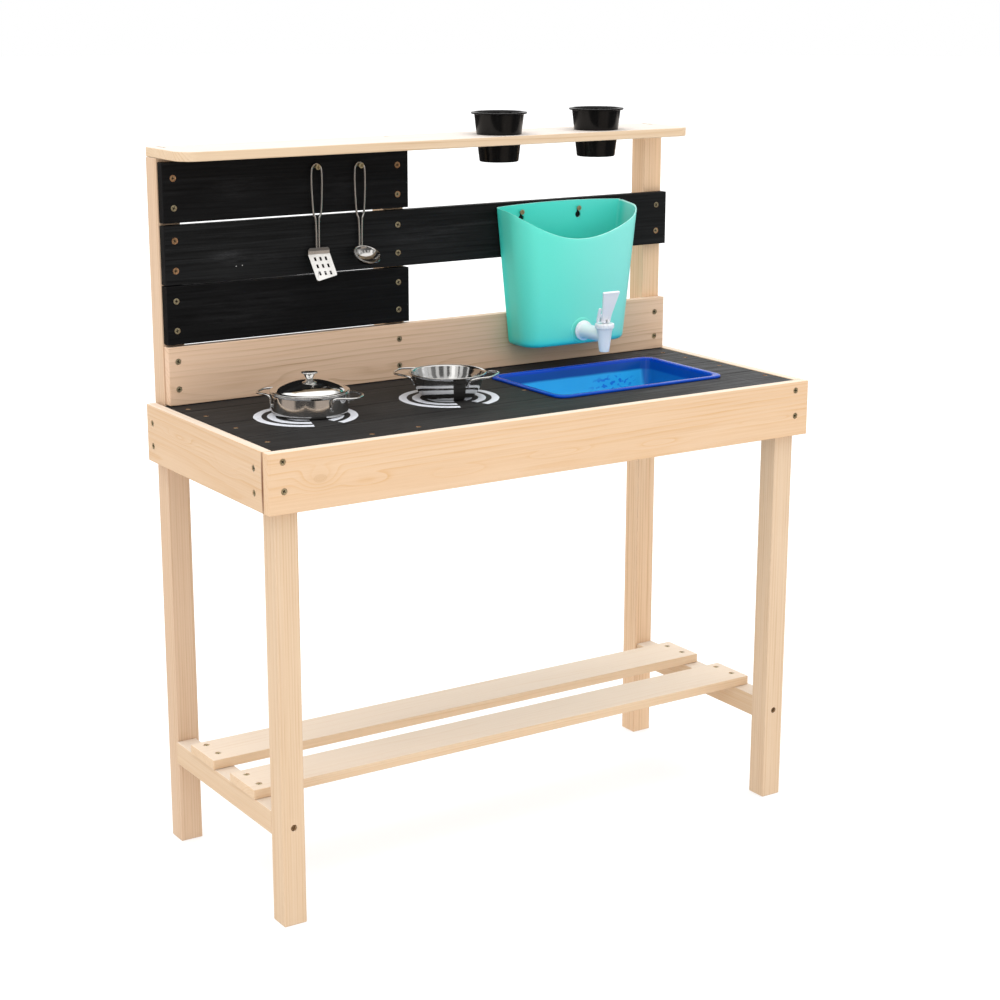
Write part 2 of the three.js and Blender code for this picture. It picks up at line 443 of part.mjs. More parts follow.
// ---------------------------------------------------------------- tap
{
  const { x, z, nozzleY } = TAP;
  const seat = TAP.seatY;
  // rubber washer between the flange and the box
  add('tap_washer', join([rod('y', x, 0, z, seat - GAP - 2, seat - GAP, 12.5, 12.5, 20)],
    [rod('y', x, 0, z, seat - 6, seat + 3, 8.2, 8.2, 16)]), RUBBER);
  const fl = seat - GAP - 2 - GAP;              // rear face of the flange
  const body = join([
    rod('y', x, 0, z, fl - 3.6, fl, 14.2, 15, 28),
    rod('y', x, 0, z, nozzleY, fl - 3, 10.4, 11, 20),
    rod('y', x, 0, z, fl - 1, fl + 20, 7.7, 7.7, 16),
    rod('z', x, nozzleY, 0, 678, 712.6, 7.4, 11.8, 24),
  ], [
    rod('y', x, 0, z, nozzleY + 4, fl + 24, 5, 5, 12),
    rod('z', x, nozzleY, 0, 694, 716, 7.6, 8.8, 16),
    rod('z', x, nozzleY, 0, 674, 696, 4.4, 4.4, 12),
    rod('z', x, nozzleY, 0, 674, 690, 5.6, 5.6, 12),
  ]);
  add('tap_body', body, WHITE_PLASTIC);
  // nut on the threaded end inside the box
  const wallIn = wbPlan(z, WB.t).reduce((m, [, y]) => Math.min(m, y), 1e9);
  const hex = prism(circle(0, 0, 14, 6), [circle(0, 0, 8.1, 16)], 6);
  hex.rotateX(-Math.PI / 2);
  hex.translate(x, wallIn + 1.6, z);
  add('tap_nut', fixFacing(hex), WHITE_PLASTIC);
  // knurled cap
  const lobes = [];
  for (let i = 0; i < 36; i++) {
    const t = (i / 36) * 2 * Math.PI;
    const r = i % 3 === 0 ? 13.1 : 14.5;
    lobes.push([r * Math.cos(t), r * Math.sin(t)]);
  }
  const cap = prism(lobes, [circle(0, 0, 3.1, 12)], 7.6);
  cap.translate(x, nozzleY, 712.9);
  add('tap_cap', fixFacing(cap), WHITE_PLASTIC);
  // valve stem with its sealing disc and an eye for the pin
  TAP.pinZ = 724.7;
  const stem = join([
    rod('z', x, nozzleY, 0, 695, 727.2, 2.4, 2.4, 12),
    rod('z', x, nozzleY, 0, 694.4, 698.4, 6, 6, 16),
  ], [
    box(x + 1.9, x + 4, nozzleY - 4, nozzleY + 4, 720.0, 730),
    box(x - 4, x - 1.9, nozzleY - 4, nozzleY + 4, 720.0, 730),
    rod('x', 0, nozzleY, TAP.pinZ, x - 6, x + 6, 1.35, 1.35, 10),
  ]);
  add('tap_stem', stem, WHITE_PLASTIC);
  add('tap_lever_pin', rod('x', 0, nozzleY, TAP.pinZ, x - 6.4, x + 6.4, 1.05, 1.05, 10), STEEL);
  const LEAN = 17, CAM_R = 6.4, CAM_AT = 55 + LEAN;
  // lever: two cam cheeks on the pin, a cross block, the paddle and a small stop finger
  const cheek = (side) => {
    const pts = [];
    // under side from the back round to the front, angles measured from straight down
    for (const [deg, r] of [[-90, 3.9], [-66, 3.9], [-42, 3.9], [-18, 3.9], [6, 3.9], [28, 3.9], [CAM_AT - 10, 5.6], [CAM_AT, CAM_R], [CAM_AT + 9, CAM_R - 0.2]]) {
      const t = deg * Math.PI / 180;
      pts.push([-r * Math.sin(t), -r * Math.cos(t)]);
    }
    pts.push([-3.9, 9.6], [3.9, 9.6]);
    const g = prism(pts, [circle(0, 0, 1.4, 10)], 3.6);       // drawn in y, z; extruded along x
    g.rotateX(Math.PI / 2);
    g.rotateZ(Math.PI / 2);
    g.translate(side > 0 ? 2.3 : -5.9, 0, 0);
    return fixFacing(g);
  };
  const paddleOutline = [[-8, -1.5], [8, -1.5], [8, 9.5], [14.6, 45.6], [14.1, 46.8], [-14.1, 46.8], [-14.6, 45.6], [-8, 9.5]];
  const paddle = prism(paddleOutline, [], 3.2);
  paddle.rotateX(Math.PI / 2);
  paddle.translate(0, -1, 0);
  const finger = prism([[-13.2, -2.5], [-8.6, -2.5], [-8.6, 17.8], [-9.8, 19.4], [-12, 19.4], [-13.2, 18]], [], 3.2);
  finger.rotateX(Math.PI / 2);
  finger.translate(0, 3.2, 0);
  const block = box(-9.4, 8, -2, 3.2, 5.4, 9.6);
  const ridge = box(-14.1, 14.1, -4.9, -0.3, 44.4, 46.9);
  const lever = join([block, cheek(1), cheek(-1), fixFacing(paddle), fixFacing(finger), ridge],
    [box(-2.3, 2.3, -3, 6, -6, 6.3), box(-2.3, 2.3, -6, -2.9, -6, 2), rod('x', 0, 0, 0, -6.8, 6.8, 1.4, 1.4, 10)]);
  const leverMesh = add('tap_lever', lever, WHITE_PLASTIC);
  leverMesh.position.set(x, nozzleY, TAP.pinZ);
  leverMesh.rotation.x = LEAN * Math.PI / 180;
}

// ---------------------------------------------------------------- sink basin
const roundRect = (x0, x1, y0, y1, r, k = 5) => {
  const pts = [];
  for (const [cx, cy, a] of [[x1 - r, y1 - r, 0], [x0 + r, y1 - r, 90], [x0 + r, y0 + r, 180], [x1 - r, y0 + r, 270]]) {
    for (let i = 0; i <= k; i++) {
      const t = (a + (90 * i) / k) * Math.PI / 180;
      pts.push([cx + r * Math.cos(t), cy + r * Math.sin(t)]);
    }
  }
  return pts;
};
{
  const { x0, x1, y0, y1, top, depth } = BASIN;
  const ring = (inset, r, z) => roundRect(x0 + inset, x1 - inset, y0 + inset, y1 - inset, r).map(([x, y]) => [x, y, z]);
  const bottom = top - depth;
  add('basin', loft([
    ring(30, 10, bottom),
    ring(22, 12, bottom + 3),
    ring(6.8, 18, WORK_TOP - 3),
    ring(6.4, 18.5, WORK_TOP + 0.4),
    ring(0.8, 23.4, WORK_TOP + 0.4),
    ring(0, 24, WORK_TOP + 1.4),
    ring(0.3, 24, top - 1.2),
    ring(1.8, 23, top),
    ring(7.4, 18, top),
    ring(9.4, 16.4, top - 2.4),
    ring(17.6, 14, bottom + 18),
    ring(24.5, 11, bottom + 4.6),
    ring(32, 8, bottom + 2.2),
  ]), BLUE);
}

// ---------------------------------------------------------------- pot with lid
// half of the loop is listed as [outwards, across, height]; the other half mirrors it
const loopHandle = (cx, cy, deg, half, r) => {
  const a = deg * Math.PI / 180;
  const at = ([u, v, h], m) => [cx + u * Math.cos(a) - m * v * Math.sin(a), cy + u * Math.sin(a) + m * v * Math.cos(a), h];
  const far = half[half.length - 1];
  return wire([...half.map((q) => at(q, -1)), at([far[0] + 0.3, 0, far[2]], 1), ...half.map((q) => at(q, 1)).reverse()], r, 44, 6);
};
{
  const { x, y, r, z0, z1, lidR, ang } = POT;
  add('pot_body', turned([
    [0, z0], [r - 3.4, z0], [r - 1, z0 + 1], [r, z0 + 3.2], [r - 1.5, z1 - 3], [lidR - 0.4, z1 - 2.2], [lidR, z1 - 1], [lidR - 0.6, z1],
    [r - 2, z1], [r - 2.6, z1 - 3], [r - 1.2, z0 + 3.6], [r - 4, z0 + 1.2], [0, z0 + 1.2],
  ], x, y, 36), STEEL);
  const half = [[44.6, 30.6, 656], [44.6, 30.6, 667], [46.4, 30.2, 670.8], [50.4, 28, 672.2], [57.5, 23.6, 672.2], [65.5, 19, 671.8], [70.8, 14.6, 671.6], [73.4, 7.4, 671.4]];
  add('pot_handle_left', loopHandle(x, y, ang + 180, half, 1.5), STEEL);
  add('pot_handle_right', loopHandle(x, y, ang, half, 1.5), STEEL);
  const b = z1 + GAP;
  add('pot_lid', turned([
    [1.7, b + 14.6], [16, b + 13.4], [32, b + 9.5], [43.2, b + 4.4], [47.9, b + 0.9], [49.2, b], [lidR - 0.6, b],
    [lidR, b + 0.7], [lidR - 0.7, b + 1.5], [49.8, b + 1.4], [48.5, b + 2.6], [43.8, b + 6], [32.4, b + 10.9],
    [16.2, b + 14.8], [1.7, b + 16], [1.7, b + 14.6],
  ], x, y, 36), STEEL);
  const k = b + 16 + GAP;
  add('lid_knob', turned([
    [1.7, k], [4.9, k], [5, k + 1], [9, k + 7.2], [11, k + 7.5], [11.5, k + 8.1], [11.4, k + 9],
    [10.2, k + 9.8], [0, k + 10.2], [0, k + 7], [1.7, k + 7], [1.7, k],
  ], x, y, 28), STEEL);
  add('lid_knob_screw', turned([
    [0, b + 11.9], [3.2, b + 12], [3.6, b + 14], [1.35, b + 14.1], [1.35, k + 6.4], [0, k + 6.6],
  ], x, y, 12), STEEL);
}

// ---------------------------------------------------------------- open pan
{
  const { x, y, rRim, rBase, z0, z1 } = PAN;
  add('pan_body', turned([
    [0, z0], [rBase - 3, z0], [rBase - 0.8, z0 + 0.8], [rBase + 1.2, z0 + 2.4], [rBase + 3.2, z0 + 4.8], [rBase + 5.6, z0 + 8],
    [rBase + 8.2, z0 + 12], [rBase + 10.4, z0 + 16.4], [rBase + 12.2, z0 + 21], [rBase + 13.6, z0 + 26], [rRim - 3.2, z1 - 3.2],
    [rRim - 1.2, z1 - 2.4], [rRim, z1 - 1.2], [rRim - 0.8, z1], [rRim - 2.4, z1 - 0.4], [rRim - 4.6, z1 - 3.8],
    [rBase + 12.4, z0 + 26], [rBase + 11, z0 + 21.2], [rBase + 9.1, z0 + 16.8], [rBase + 7, z0 + 12.6], [rBase + 4.4, z0 + 8.8],
    [rBase + 2, z0 + 5.5], [rBase, z0 + 3.3], [rBase - 1.8, z0 + 1.9], [rBase - 4, z0 + 1.3], [0, z0 + 1.3],
  ], x, y, 36), STEEL);
  // wire loops start low on the flared wall and reach out level with the rim
  const foot = [[40.8, 29.7, 666], [42.7, 31, 672], [45.4, 32.6, 675.8]];
  add('pan_handle_left', loopHandle(x, y, 134, [...foot, [50.5, 31.4, 677.4], [58, 27.6, 677.8], [66, 24, 678.1], [72, 19.4, 678.3], [75, 11, 678.4]], 1.4), STEEL);
  add('pan_handle_right', loopHandle(x, y, -52, [...foot, [50.5, 31.6, 678], [57, 27, 679.3], [63.5, 23.4, 680], [68.3, 19.8, 680.3], [70.7, 12, 680.5]], 1.4), STEEL);
}

// ---------------------------------------------------------------- hanging tools
const toolHandle = (o, half, waist, neckZ, endZ) => {
  const { x, y, z } = o;
  const top = z + 3.7;
  const side = (s) => [
    [x + s * 2.1, y, endZ], [x + s * 2.3, y, neckZ - 14], [x + s * 3, y, neckZ], [x + s * waist, y, neckZ + 10],
    [x + s * half, y, neckZ + 42], [x + s * half, y, top - 12], [x + s * half * 0.72, y, top - 3.4],
  ];
  return wire([...side(-1), [x, y, top], ...side(1).reverse()], 1.5, 40, 6);
};
add('spatula_handle', toolHandle(SPATULA, 8, 6.2, 889, 836), STEEL);
{
  // flange behind which the wires are welded, then the blade leaning forward
  const { x, y } = SPATULA;
  const yf = y - 1.5 - GAP;                    // rear face of the flange
  const w = 17, T = 1.2, lean = 37 * Math.PI / 180, near = 42.5, far = 36.5;      // the lower end is cut at a slant
  const outline = [[-w, 0], [w, 0], [w + 0.4, -far + 3.4], [w - 0.6, -far + 0.8], [w - 3, -far], [-w + 3.6, -near], [-w + 0.9, -near + 0.9], [-w - 0.2, -near + 3.6]];
  const place = (g, y0) => {                   // drawn in x, z; lower end towards the front
    g.rotateX(Math.PI / 2);
    g.translate(0, y0, 0);
    g.rotateX(-lean);
    g.translate(x, yf, 839.4);
    return fixFacing(g);
  };
  const slots = [];
  for (const sx of [-8.5, 0, 8.5]) for (const sz of [-8, -19.5, -31]) {
    slots.push(place(prism([[sx - 1.5, sz - 2.8], [sx + 1.5, sz - 2.8], [sx + 1.5, sz + 2.8], [sx - 1.5, sz + 2.8]], [], 5), 2));
  }
  const blade = place(prism(outline, [], T), 0);
  const flange = prism([[-w, -0.9], [w, -0.9], [w, 6.4], [w - 2.6, 9.4], [-w + 2.6, 9.4], [-w, 6.4]], [], T);
  flange.rotateX(Math.PI / 2);
  flange.translate(x, yf, 839.4);
  add('spatula_blade', join([fixFacing(flange), blade], slots), STEEL);
}
add('ladle_handle', toolHandle(LADLE, 8, 6, 885, 838), STEEL);
{
  const { x, y } = LADLE;
  const g = new THREE.LatheGeometry([
    [0, -12], [8, -11], [15, -7.2], [19, -1.6], [20.2, 0], [19.6, 0.8], [17.8, -1.2], [14.2, -6], [7.6, -9.8], [0, -10.8],
  ].map(([r, h]) => new THREE.Vector2(r, h)), 28);
  g.rotateX(Math.PI / 2);
  g.rotateX(31 * Math.PI / 180);               // open side up and forward
  g.translate(x - 0.6, y - 1.5 - GAP - 17.6, 836.2);
  add('ladle_bowl', fixFacing(g), STEEL);
}

const model = new THREE.Group();
kitchen.position.set(0, -DEPTH / 2, 0);
model.add(kitchen);
export default model;
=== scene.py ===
"""Mud kitchen: the looks of every piece, built round the loaded frame."""
import bpy
import bmesh
import math
import random
from math import cos, sin, pi, radians
from mathutils import Vector, Matrix


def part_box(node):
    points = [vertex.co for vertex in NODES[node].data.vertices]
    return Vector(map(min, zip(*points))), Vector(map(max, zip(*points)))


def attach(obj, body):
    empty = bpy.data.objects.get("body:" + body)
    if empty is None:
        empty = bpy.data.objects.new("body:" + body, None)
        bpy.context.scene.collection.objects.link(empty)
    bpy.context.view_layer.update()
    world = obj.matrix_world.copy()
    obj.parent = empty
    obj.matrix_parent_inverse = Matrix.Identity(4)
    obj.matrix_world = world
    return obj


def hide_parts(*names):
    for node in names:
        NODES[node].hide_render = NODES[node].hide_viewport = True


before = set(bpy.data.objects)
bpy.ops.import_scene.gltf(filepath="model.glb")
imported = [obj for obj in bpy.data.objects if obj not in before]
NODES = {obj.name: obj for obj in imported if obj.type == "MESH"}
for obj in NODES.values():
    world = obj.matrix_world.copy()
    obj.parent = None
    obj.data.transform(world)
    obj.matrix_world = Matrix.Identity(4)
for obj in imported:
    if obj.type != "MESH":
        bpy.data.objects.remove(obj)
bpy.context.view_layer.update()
Y_SHIFT = 187.5            # mm from the front apron's face to the row's origin


def V(x, y, z):
    """Millimetres, y from the front face, to metres in the row frame."""
    return Vector((x / 1000, (y - Y_SHIFT) / 1000, z / 1000))


# ------------------------------------------------------------------ node trees
class Tree:
    def __init__(self, name):
        self.mat = bpy.data.materials.new(name)
        self.mat.use_nodes = True
        self.t = self.mat.node_tree
        self.t.nodes.clear()
        self.out = self.t.nodes.new("ShaderNodeOutputMaterial")
        self.bsdf = self.t.nodes.new("ShaderNodeBsdfPrincipled")
        self.t.links.new(self.bsdf.outputs[0], self.out.inputs[0])

    def node(self, kind, **values):
        n = self.t.nodes.new("ShaderNode" + kind)
        for k, v in values.items():
            setattr(n, k, v)
        return n

    def put(self, socket, value):
        if isinstance(value, bpy.types.NodeSocket):
            self.t.links.new(value, socket)
        else:
            socket.default_value = value

    def math(self, op, a, b=None, c=None, clamp=False):
        n = self.node("Math", operation=op, use_clamp=clamp)
        self.put(n.inputs[0], a)
        if b is not None:
            self.put(n.inputs[1], b)
        if c is not None:
            self.put(n.inputs[2], c)
        return n.outputs[0]

    def coords(self):
        return self.node("TexCoord").outputs["Object"]

    def split(self, vec):
        n = self.node("SeparateXYZ")
        self.put(n.inputs[0], vec)
        return n.outputs

    def join(self, x, y, z):
        n = self.node("CombineXYZ")
        for s, v in zip(n.inputs, (x, y, z)):
            self.put(s, v)
        return n.outputs[0]

    def scale(self, vec, s):
        n = self.node("VectorMath", operation="MULTIPLY")
        self.put(n.inputs[0], vec)
        n.inputs[1].default_value = s
        return n.outputs[0]

    def add(self, vec, s):
        n = self.node("VectorMath", operation="ADD")
        self.put(n.inputs[0], vec)
        self.put(n.inputs[1], s)
        return n.outputs[0]

    def noise(self, vec, scale, detail=3.0, rough=0.5, distortion=0.0):
        n = self.node("TexNoise")
        self.put(n.inputs["Vector"], vec)
        n.inputs["Scale"].default_value = scale
        n.inputs["Detail"].default_value = detail
        n.inputs["Roughness"].default_value = rough
        n.inputs["Distortion"].default_value = distortion
        return n.outputs["Fac"]

    def ramp(self, fac, stops, mode="LINEAR"):
        n = self.node("ValToRGB")
        n.color_ramp.interpolation = mode
        el = n.color_ramp.elements
        while len(el) < len(stops):
            el.new(0.5)
        for e, (p, c) in zip(el, stops):
            e.position = p
            e.color = (*c, 1.0) if isinstance(c, tuple) else (c, c, c, 1.0)
        self.put(n.inputs[0], fac)
        return n.outputs["Color"]

    def mix(self, fac, a, b, mode="MIX"):
        n = self.node("Mix", data_type="RGBA", blend_type=mode)
        self.put(n.inputs["Factor"], fac)
        for s, v in ((n.inputs[6], a), (n.inputs[7], b)):
            self.put(s, (*v, 1.0) if isinstance(v, tuple) and len(v) == 3 else v)
        return n.outputs[2]

    def remap(self, v, a, b, c=0.0, d=1.0, smooth=False):
        n = self.node("MapRange", interpolation_type="SMOOTHSTEP" if smooth else "LINEAR")
        self.put(n.inputs["Value"], v)
        for s, x in zip(("From Min", "From Max", "To Min", "To Max"), (a, b, c, d)):
            n.inputs[s].default_value = x
        return n.outputs["Result"]

    def bump(self, height, strength, distance):
        n = self.node("Bump")
        n.inputs["Strength"].default_value = strength
        n.inputs["Distance"].default_value = distance
        self.put(n.inputs["Height"], height)
        self.t.links.new(n.outputs[0], self.bsdf.inputs["Normal"])

    def set(self, **values):
        names = {"color": "Base Color", "rough": "Roughness", "metal": "Metallic", "spec": "Specular IOR Level",
                 "coat": "Coat Weight", "coat_rough": "Coat Roughness", "sss": "Subsurface Weight", "ior": "IOR"}
        for k, v in values.items():
            if isinstance(v, tuple) and len(v) == 3:
                v = (*v, 1.0)
            self.put(self.bsdf.inputs[names[k]], v)


AXES = {  # which coordinate runs along, across and through the board
    "xy": (0, 2, 1), "xz": (0, 1, 2), "yx": (1, 2, 0), "yz": (1, 0, 2), "zx": (2, 1, 0), "zy": (2, 0, 1),
}


def grain(T, lay, centre, seed, pith, ring, taper, wob):
    """Growth rings round a log axis beside the board. Returns along, across, through, ring phase and the local vector."""
    xyz = T.split(T.coords())
    a, b, c = AXES[lay]
    u = T.math("SUBTRACT", xyz[a], centre[a])
    v = T.math("SUBTRACT", xyz[b], centre[b])
    w = T.math("SUBTRACT", xyz[c], centre[c])
    local = T.join(u, v, w)
    off = (seed * 3.17, seed * 1.31, seed * 0.73)
    drift = T.noise(T.add(T.scale(local, (2.2, 9, 9)), off), 1.0, 2.0, 0.5)
    drift2 = T.noise(T.add(T.scale(local, (7, 30, 30)), (off[1], off[2], off[0])), 1.0, 2.0, 0.55)
    v1 = T.math("SUBTRACT", v, pith[0])
    v1 = T.math("ADD", v1, T.math("MULTIPLY", T.math("SUBTRACT", drift, 0.5), wob * 2.0))
    w1 = T.math("SUBTRACT", w, pith[1])
    w1 = T.math("ADD", w1, T.math("MULTIPLY", u, taper))
    w1 = T.math("ADD", w1, T.math("MULTIPLY", T.math("SUBTRACT", drift2, 0.5), wob))
    r = T.math("SQRT", T.math("ADD", T.math("MULTIPLY", v1, v1), T.math("MULTIPLY", w1, w1)))
    return u, v, w, r, local, off


def knots_in(T, u, v, knots):
    """Lift of the rings round each knot, and a mask of the knots' own discs."""
    lift, disc, turn = None, None, None
    for ku, kv, size in knots:
        du = T.math("MULTIPLY", T.math("SUBTRACT", u, ku), 0.55)
        dv = T.math("SUBTRACT", v, kv)
        d = T.math("SQRT", T.math("ADD", T.math("MULTIPLY", du, du), T.math("MULTIPLY", dv, dv)))
        hill = T.remap(d, size * 4.2, 0.0, 0.0, 1.0, smooth=True)
        spot = T.remap(d, size * 1.05, size * 0.75, 0.0, 1.0, smooth=True)
        rings = T.math("MULTIPLY", d, 1.0 / (size * 0.3))
        lift = hill if lift is None else T.math("MAXIMUM", lift, hill)
        disc = spot if disc is None else T.math("MAXIMUM", disc, spot)
        turn = rings if turn is None else T.math("MINIMUM", turn, rings)
    return lift, disc, turn


def pine(name, lay, centre, seed, pith=(0.01, -0.07), ring=0.0038, taper=0.006, wob=0.005, knots=(), hills=(),
         pale=(0.70, 0.505, 0.325), late=(0.56, 0.335, 0.155), strength=0.7, top_glare=0.8, painted_shade=None, glare_colour=(0.7, 0.615, 0.525)):
    T = Tree(name)
    u, v, w, r, local, off = grain(T, lay, centre, seed, pith, ring, taper, wob)
    q = T.math("MULTIPLY", r, 1.0 / ring)
    lift = disc = turn = None
    if knots:
        lift, disc, turn = knots_in(T, u, v, knots)
        q = T.math("ADD", q, T.math("MULTIPLY", lift, 3.0))
    # long swells that close the year lines into flames and loops
    for hu, hv, su, sv, amount in hills:
        du = T.math("MULTIPLY", T.math("SUBTRACT", u, hu), 1.0 / su)
        dv = T.math("MULTIPLY", T.math("SUBTRACT", v, hv), 1.0 / sv)
        d = T.math("SQRT", T.math("ADD", T.math("MULTIPLY", du, du), T.math("MULTIPLY", dv, dv)))
        q = T.math("ADD", q, T.math("MULTIPLY", T.remap(d, 1.0, 0.0, 0.0, 1.0, smooth=True), amount))
    # ring width changes from year to year
    year = T.noise(T.join(T.math("MULTIPLY", q, 0.23), seed * 1.7, 0.0), 1.0, 2.0, 0.6)
    q = T.math("ADD", q, T.math("MULTIPLY", year, 1.6))
    t = T.math("FRACT", q)
    late_line = T.ramp(t, [(0.0, 0.02), (0.4, 0.08), (0.7, 0.32), (0.86, 0.72), (0.93, 0.85), (1.0, 0.04)])
    fibre = T.noise(T.add(T.scale(local, (8, 560, 560)), off), 1.0, 4.0, 0.62)
    # each year's line is stronger or fainter than the next, and fades in and out along the board
    force = T.noise(T.join(T.math("MULTIPLY", T.math("FLOOR", q), 0.37), seed * 0.9, T.math("MULTIPLY", u, 2.2)), 2.3, 2.0, 0.5)
    force = T.remap(force, 0.34, 0.72, 0.08, 1.0)
    line = T.math("MULTIPLY", T.math("MULTIPLY", late_line, force), T.remap(fibre, 0.32, 0.68, strength * 0.6, strength * 1.05))
    flecks = T.noise(T.add(T.scale(local, (40, 1500, 1500)), off), 1.0, 2.0, 0.5)
    flecks = T.remap(flecks, 0.64, 0.74, 0.0, 1.0)
    broad = T.noise(T.add(T.scale(local, (2.2, 20, 20)), (off[2], off[0], off[1])), 1.0, 3.0, 0.55)
    band = T.noise(T.add(T.scale(local, (1.1, 95, 95)), (off[0], off[2], off[1])), 1.0, 3.0, 0.5)
    base = T.mix(broad, (pale[0] * 1.03, pale[1] * 1.05, pale[2] * 1.08), (pale[0] * 0.97, pale[1] * 0.94, pale[2] * 0.9))
    base = T.mix(T.remap(band, 0.38, 0.7, 0.0, 0.6), base, (pale[0] * 0.955, pale[1] * 0.9, pale[2] * 0.83))
    col = T.mix(line, base, late)
    col = T.mix(T.remap(fibre, 0.32, 0.7, 0.0, 0.16), col, (0.62, 0.52, 0.43), "MULTIPLY")
    col = T.mix(T.math("MULTIPLY", flecks, 0.1), col, (0.36, 0.21, 0.11))
    if knots:
        kring = T.ramp(T.math("FRACT", turn), [(0.0, (0.56, 0.36, 0.2)), (0.6, (0.47, 0.28, 0.14)), (1.0, (0.33, 0.18, 0.08))])
        col = T.mix(T.math("MULTIPLY", disc, 0.28), col, kring)
        halo = T.math("MULTIPLY", T.math("MULTIPLY", lift, lift), 0.3)
        col = T.mix(halo, col, (0.6, 0.39, 0.22))
    # painted shade: a patch multiplied into the colour of the outward face, for shade that falls there
    if painted_shade:
        su, sv, ru, rv, colour, amount = painted_shade
        facing = T.split(T.node("NewGeometry").outputs["Normal"])
        facing = T.remap(facing[0] if lay[0] == "y" else facing[1], -0.6, -0.2, 1.0, 0.0)
        du = T.math("MULTIPLY", T.math("SUBTRACT", u, su), 1.0 / ru)
        dv = T.math("MULTIPLY", T.math("SUBTRACT", v, sv), 1.0 / rv)
        d = T.math("SQRT", T.math("ADD", T.math("MULTIPLY", du, du), T.math("MULTIPLY", dv, dv)))
        col = T.mix(T.math("MULTIPLY", facing, T.remap(d, 1.0, 0.2, 0.0, amount, smooth=True)), col, colour, "MULTIPLY")
    if top_glare:
        # painted highlight: upper faces are painted paler than the sides, standing in for strong light from above
        up = T.split(T.node("NewGeometry").outputs["Normal"])[2]
        glare = T.math("MULTIPLY", T.remap(up, 0.55, 0.95, 0.0, top_glare, smooth=True), T.remap(T.math("ADD", line, T.math("MULTIPLY", flecks, 0.3)), 0.0, 0.9, 1.0, 0.45))
        col = T.mix(glare, col, glare_colour)
    height = T.math("ADD", T.math("MULTIPLY", fibre, 0.5), T.math("MULTIPLY", late_line, 0.35))
    height = T.math("SUBTRACT", height, T.math("MULTIPLY", flecks, 0.3))
    T.bump(height, 0.3, 0.0002)
    T.set(color=col, rough=T.remap(T.math("ADD", fibre, T.math("MULTIPLY", line, -0.4)), 0.2, 0.8, 0.52, 0.72), spec=0.25)
    return T.mat


